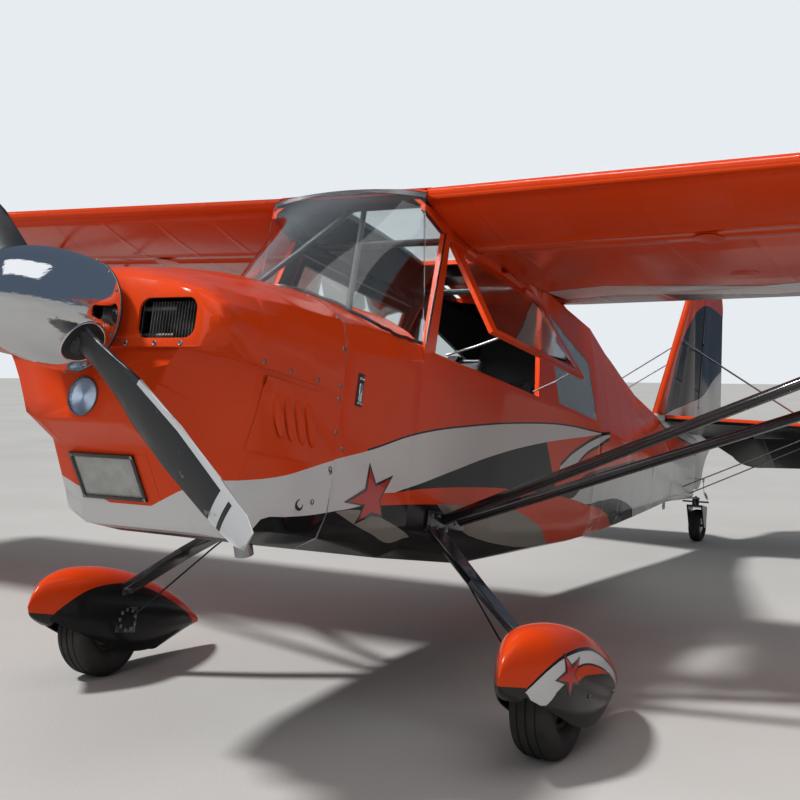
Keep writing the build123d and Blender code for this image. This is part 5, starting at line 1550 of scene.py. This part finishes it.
# %% Seats
SEATS = (("front", -1.080, -.270), ("rear", -1.880, -.240))
RAIL_Y, BACK_LEAN = .190, radians(10.3)
RAIL_TUBE, LEG_TUBE, TAILOR = .011, .010, .405
for word, x, z in SEATS:
    pan = cushion(.400, TAILOR, .080, (-.35, .35))
    pan.matrix_world = Matrix.Translation((x + .010, 0, z + .050))
    back = cushion(.440, TAILOR, .070, (-.5, 0, .5))
    back.matrix_world = (Matrix.Translation((x - .206, 0, z + .330))
                         @ Matrix.Rotation(-pi / 2 - BACK_LEAN, 4, "Y"))
    for part, kind, replaced in ((pan, "pan", ("seat_" + word,)), (back, "back", ())):
        fit(settle(part), "seat_" + word + "_" + kind, "airframe", SEAT_CLOTH, replaced)
    tubes = []
    for y in (RAIL_Y, -RAIL_Y):
        rail = [(x + .205, y, z - .01), (x - .175, y, z - .005), (x - .195, y, z + .05),
                (x - .268, y, z + .555)]
        tubes.append(tube(rail, RAIL_TUBE))
        tubes.append(tube([(x + .180, y, z - .01), (x + .180, y, -.445)], LEG_TUBE))
        tubes.append(tube([(x - .170, y, z - .01), (x - .170, y, -.425)], LEG_TUBE))
    for dx, dz in ((-.268, .555), (.205, -.01)):
        tubes.append(tube([(x + dx, -RAIL_Y, z + dz), (x + dx, RAIL_Y, z + dz)], RAIL_TUBE))
    piece(tubes, "seat_" + word + "_frame", TUBE)
print("seats built", len(SEATS))

# %% Harness
SHOULDER = ((-.285, .085, .57), (-.225, .085, .572), (-.165, .08, .48), (-.125, .07, .30), (-.085, .05, .14),
            (-.03, .03, .098))
LAP = ((-.16, .190, .03), (-.10, .15, .098), (-.03, .05, .103))
WEB_WALL, BUCKLE = .0022, (.055, .060, .014)


def strap(points, width):
    """A flat webbing strap through level points, as wide across y."""
    def shape(u, v):
        at = v * (len(points) - 1)
        k = min(int(at), len(points) - 2)
        place = Vector(points[k]).lerp(Vector(points[k + 1]), at - k)
        return place + Vector((0, (u - .5) * width, 0))

    return thicken(formed(4, 8 * (len(points) - 1), shape), WEB_WALL, 0.0)


for word, x, z in SEATS:
    straps = []
    for side in BOTH_SIDES:
        for line, width in ((SHOULDER, .045), (LAP, .048)):
            straps.append(strap([(x + dx, side * dy, z + dz) for dx, dy, dz in line], width))
    piece(straps, "harness_" + word, WEBBING)
    buckle = rounded_block(BUCKLE, (x - .025, 0, z + .108), .004)
    piece([buckle], "buckle_" + word, STEEL, angle=35)
print("harnesses laid", len(SEATS))

# %% [markdown]
# The panel carries round dials with plain white ticks and a needle, and a stack of plain boxes. The
# dial faces are black discs sunk in a bezel, and the ticks are thin bars set round each face.

# %% Dials
PANEL_X, DIAL_ROWS, DIAL_COLUMNS, DIAL_PITCH = -.3725, (.205, .105), 5, .12
BEZEL = [(.038, 0), (.045, 0), (.045, .006), (.041, .008), (.038, .006)]
DIAL_FACE = [(.0001, .001), (.0385, .001), (.0385, .0035), (.0001, .0035)]
TICKS, TICK_RADIUS, TICK_OUT, NEEDLE_OUT, NEEDLE_TURN = 12, .031, .0040, .0048, .7
bezels, faces, ticks = [], [], []
for row, z in enumerate(DIAL_ROWS):
    for column in range(DIAL_COLUMNS):
        y = DIAL_PITCH * (column - 2)
        bezels.append(turned(BEZEL, (PANEL_X, y, z), (-1, 0, 0), 32))
        faces.append(turned(DIAL_FACE, (PANEL_X, y, z), (-1, 0, 0), 28))
        for turn in around(TICKS):
            tick = rounded_block((.0008, .0014, .006), (0, 0, 0), .0003, 1)
            place = (PANEL_X - TICK_OUT, y + TICK_RADIUS * sin(turn), z + TICK_RADIUS * cos(turn))
            tick.matrix_world = Matrix.Translation(place) @ Matrix.Rotation(-turn, 4, "X")
            ticks.append(tick)
        needle = rounded_block((.0010, .0022, .030), (0, 0, 0), .0004, 1)
        needle.matrix_world = (Matrix.Translation((PANEL_X - NEEDLE_OUT, y, z))
                               @ Matrix.Rotation(NEEDLE_TURN * column + row, 4, "X")
                               @ Matrix.Translation((0, 0, .012)))
        ticks.append(needle)
piece(bezels, "dial_bezels", PLASTIC, angle=35)
piece(faces, "dial_faces", ENAMEL, angle=35)
fit(settle(join(ticks)), "dial_ticks", "airframe", WHITE_GLOSS)
print("dials", len(bezels))

# %% Plain boxes under the dials
BOX_HEIGHTS, KNOB_Y = (.020, -.022), .058
stack = [rounded_block((.020, .16, .036), (PANEL_X - .006, 0, z), .002) for z in BOX_HEIGHTS]
stack += [rounded_block((.016, .018, .018), (PANEL_X - .022, y, z), .006)
          for z in BOX_HEIGHTS for y in (KNOB_Y, -KNOB_Y)]
piece(stack, "radio_stack", PLASTIC, angle=35)
print("boxes", len(BOX_HEIGHTS))

# %% [markdown]
# The swung-out window is held by a thin rod between the sill and the frame. The door has a handle.
# The strut ends and the gear carry bolted plates.

# %% Window stay and handle
rods = [tube([(-.665, .398, .178), (-.690, .500, .215), (-.700, .590, .250)], .0045),
        tube([(-1.46, .396, .182), (-1.46, .50, .23), (-1.46, .575, .275)], .0035)]
piece(rods, "window_stay", STEEL)
handle = [rounded_block((.10, .012, .018), (-1.33, -.412, -.02), .005),
          rounded_block((.020, .018, .020), (-1.29, -.404, -.02), .006)]
piece(handle, "door_handle", CHROME, "door", angle=35)
print("stay and handle", len(rods) + len(handle))

# %% Bolted plates
FLANGE_X, FLANGE_Z, FLANGE_IN, FLANGE_BOLTS = -.545, -.918, .116, 9
plates, spots = [], []
for side in BOTH_SIDES:
    outwards = Vector((0, side, 0))
    inner = side * (MAIN_AXLE[1] - FLANGE_IN)
    plates.append(rounded_block((.115, .006, .105), (FLANGE_X, inner, FLANGE_Z), .003))
    for turn in around(FLANGE_BOLTS):
        spot = (FLANGE_X + .045 * cos(turn), inner - side * .003, FLANGE_Z + .040 * sin(turn))
        spots.append((parked(*spot), -outwards))
    spots += [beside(PANT_SKINS, x, -.940, side) for x in (-.57, -.90)]
    plates.append(rounded_block((.16, .006, .070), (-.725, side * .400, -.425), .003))
    spots += [(parked(x, side * .403, z), outwards) for x in (-.78, -.725, -.67) for z in (-.405, -.445)]
    plates.append(rounded_block((.15, .006, .050), (-.855, side * .401, -.420), .003))
    spots += [(parked(x, side * .404, -.42), outwards) for x in (-.91, -.855, -.80)]
piece(plates, "gear_plates", ENAMEL, angle=35)
plant(bolt_head(.0065, .005), [spot for spot in spots if spot], "gear_bolts")
brakes = [tube([(-.705, side * .40, -.455), (-.66, side * .55, -.60), (-.60, side * .74, -.80),
                (-.575, side * .846, -.905)], .0035) for side in BOTH_SIDES]
piece(brakes, "brake_lines", RUBBER)
print("plates", len(plates), "bolts", len(spots))

# %% [markdown]
# Under each wing there are round inspection covers, and on top a fuel cap. At the tail the rudder
# has a horn with a link on each side, and steering springs lead on to the arms of the tail wheel.

# %% Wing covers and caps
COVER_PLACES = ((-.95, 1.25), (-1.45, 1.25), (-.95, 2.2), (-1.45, 2.2), (-.95, 3.4), (-1.45, 3.4),
                (-.95, 4.2))
COVER = [(.0001, 0), (.052, 0), (.055, .0006), (.055, .0022), (.050, .0028), (.0001, .0028)]
CAP = [(.0001, -.002), (.040, -.002), (.042, .002), (.038, .005), (.020, .005), (.018, .009), (.0001, .009)]
CAP_PLACE = (-.92, .80)
covers, caps = [], []
for side, word in LEFT_NAMES:
    for x, y in COVER_PLACES:
        found = touch(("wing_" + word,), (x, side * y, 0), (0, 0, 1))
        covers.append(turned(COVER, level(found[0]), (0, 0, -1), 36))
piece(covers, "inspection_covers", WING_PAINT, angle=35)
for side, word in LEFT_NAMES:
    found = touch(("wing_" + word,), (CAP_PLACE[0], side * CAP_PLACE[1], 2), (0, 0, -1))
    caps.append(turned(CAP, level(found[0]), UPWARD, 36))
piece(caps, "fuel_caps", STEEL, angle=35)
print("covers", len(covers), "caps", len(caps))

# %% Tail steering
HORN_X, LINK_Y, COIL_STEPS = -5.135, .084, 10
COIL_FROM, COIL_SHARE = .18, .64


def coil(start, end, radius, wire, turns):
    """A tension spring between two level places."""
    start, end = Vector(start), Vector(end)
    along = (end - start).normalized()
    side = along.orthogonal().normalized()
    other = along.cross(side)
    count = turns * COIL_STEPS
    points = [start]
    for k in range(count + 1):
        turn = k / COIL_STEPS * 2 * pi
        middle = start.lerp(end, COIL_FROM + COIL_SHARE * k / count)
        points.append(middle + (side * cos(turn) + other * sin(turn)) * radius)
    points.append(end)
    return tube(points, wire, 8)


horn = [rounded_block((.030, .180, .006), (HORN_X, 0, .205), .002)]
horn += [rounded_block((.026, .008, .030), (HORN_X, y, .196), .003) for y in (LINK_Y, -LINK_Y)]
piece(horn, "rudder_horn", WHITE_GLOSS, "rudder", angle=35)
springs = [coil((-5.165, side * LINK_Y, .126), (-5.268, side * .086, .072), .007, .0014, 9)
           for side in BOTH_SIDES]
links = [tube([(-5.140, y, .186), (-5.150, y, .150), (-5.165, y, .127)], .0022) for y in (LINK_Y, -LINK_Y)]
piece(links, "rudder_links", STEEL, "rudder")
piece(springs, "steering_springs", STEEL, "tail_fork", angle=50)
clamps = [rounded_block((.030, .064, .012), (-4.80, 0, .086), .003),
          rounded_block((.030, .060, .010), (-5.02, 0, .062), .003)]
piece(clamps, "tail_spring_clamps", STEEL, angle=35)

# %% [markdown]
# A plain pale floor and even light. The floor is wide enough that its edge is never seen near the
# aircraft. To mirror rays it is darker, painted shade that stands in for the wing's shadow on the
# ground, so that the gloss on the flank doesn't wash its colours out.
# The world is a soft pale sky. A broad sun lights the tops and leaves the flank in soft shade, and
# two large lamps give the paint long highlights.

# %% Floor
FLOOR_RADIUS, MIRRORED_SHADOW_SHARE, MIRRORED_SHADOW_GREY = 70, 0.40, (0.06, 0.06, 0.06)
floor = new_mesh(bpy.ops.mesh.primitive_circle_add, vertices=96, radius=FLOOR_RADIUS, fill_type="NGON")
floor.name = "floor"
CONCRETE = worn("pale_concrete", (0.47, 0.46, 0.44), 0.85,
                drift=((0.48, 0.47, 0.45), (0.43, 0.42, 0.40), 0.6), bump=(60, 0.001))
ground = CONCRETE.node_tree
shown_colour = ground.nodes["Principled BSDF"].inputs["Base Color"].links[0].from_socket
# Painted shade: mirror rays see a darker floor, standing in for the wing's shadow on the ground.
mirror_ray = Field(ground, add(ground, "LightPath").outputs["Is Glossy Ray"])
set_shader(CONCRETE, {"Base Color": mix(mirror_ray * MIRRORED_SHADOW_SHARE, shown_colour, MIRRORED_SHADOW_GREY)})
floor.data.materials.append(CONCRETE)
print("floor laid")

# %% World
WORLD_LIGHT, REFLECTED_LIGHT = 0.30, 0.20
SKY_LIGHT, SKY_SEEN, SKY_MIRRORED = (0.93, 0.96, 1.0, 1), (0.80, 0.84, 0.88, 1), (0.42, 0.56, 0.78, 1)
world = bpy.data.worlds.new("studio")
bpy.context.scene.world = world
world.use_nodes = True
sky = world.node_tree
light = sky.nodes["Background"]
light.inputs[0].default_value = SKY_LIGHT
light.inputs[1].default_value = WORLD_LIGHT
seen = add(sky, "Background", inputs={0: SKY_SEEN, 1: 1.0})
mirror = add(sky, "Background", inputs={0: SKY_MIRRORED, 1: REFLECTED_LIGHT})
path = add(sky, "LightPath").outputs
shown = Field(sky, path["Is Camera Ray"]).maths("MAXIMUM", path["Is Transmission Ray"])
lit = add(sky, "MixShader", inputs={0: path["Is Glossy Ray"], 1: light.outputs[0], 2: mirror.outputs[0]})
either = add(sky, "MixShader", inputs={0: shown, 1: lit.outputs[0], 2: seen.outputs[0]})
sky.links.new(either.outputs[0], sky.nodes["World Output"].inputs[0])
print("sky light", WORLD_LIGHT)

# %% Sun and lamps
SUN_FROM, SUN_POWER, SUN_ANGLE = (0.40, -0.50, 1.0), 3.3, 7
bpy.ops.object.light_add(type="SUN", location=(4, -4, 9))
sun = bpy.context.object
sun.name = "key"
sun.data.energy = SUN_POWER
sun.data.angle = radians(SUN_ANGLE)
sun.rotation_euler = Vector(SUN_FROM).to_track_quat("Z", "Y").to_euler()
LAMPS = (
    ("overhead", (3, 3, 8), (0, 0, 1), 6.0, 110),
    ("front", (9, 1, 4), (2, 0, 1), 4.0, 60),
)
for name, place, target, size, power in LAMPS:
    bpy.ops.object.light_add(type="AREA", location=place)
    lamp = bpy.context.object
    lamp.name = name
    lamp.data.size = size
    lamp.data.energy = power
    lamp.rotation_euler = (Vector(place) - Vector(target)).to_track_quat("Z", "Y").to_euler()
print("lamps", len(LAMPS) + 1)
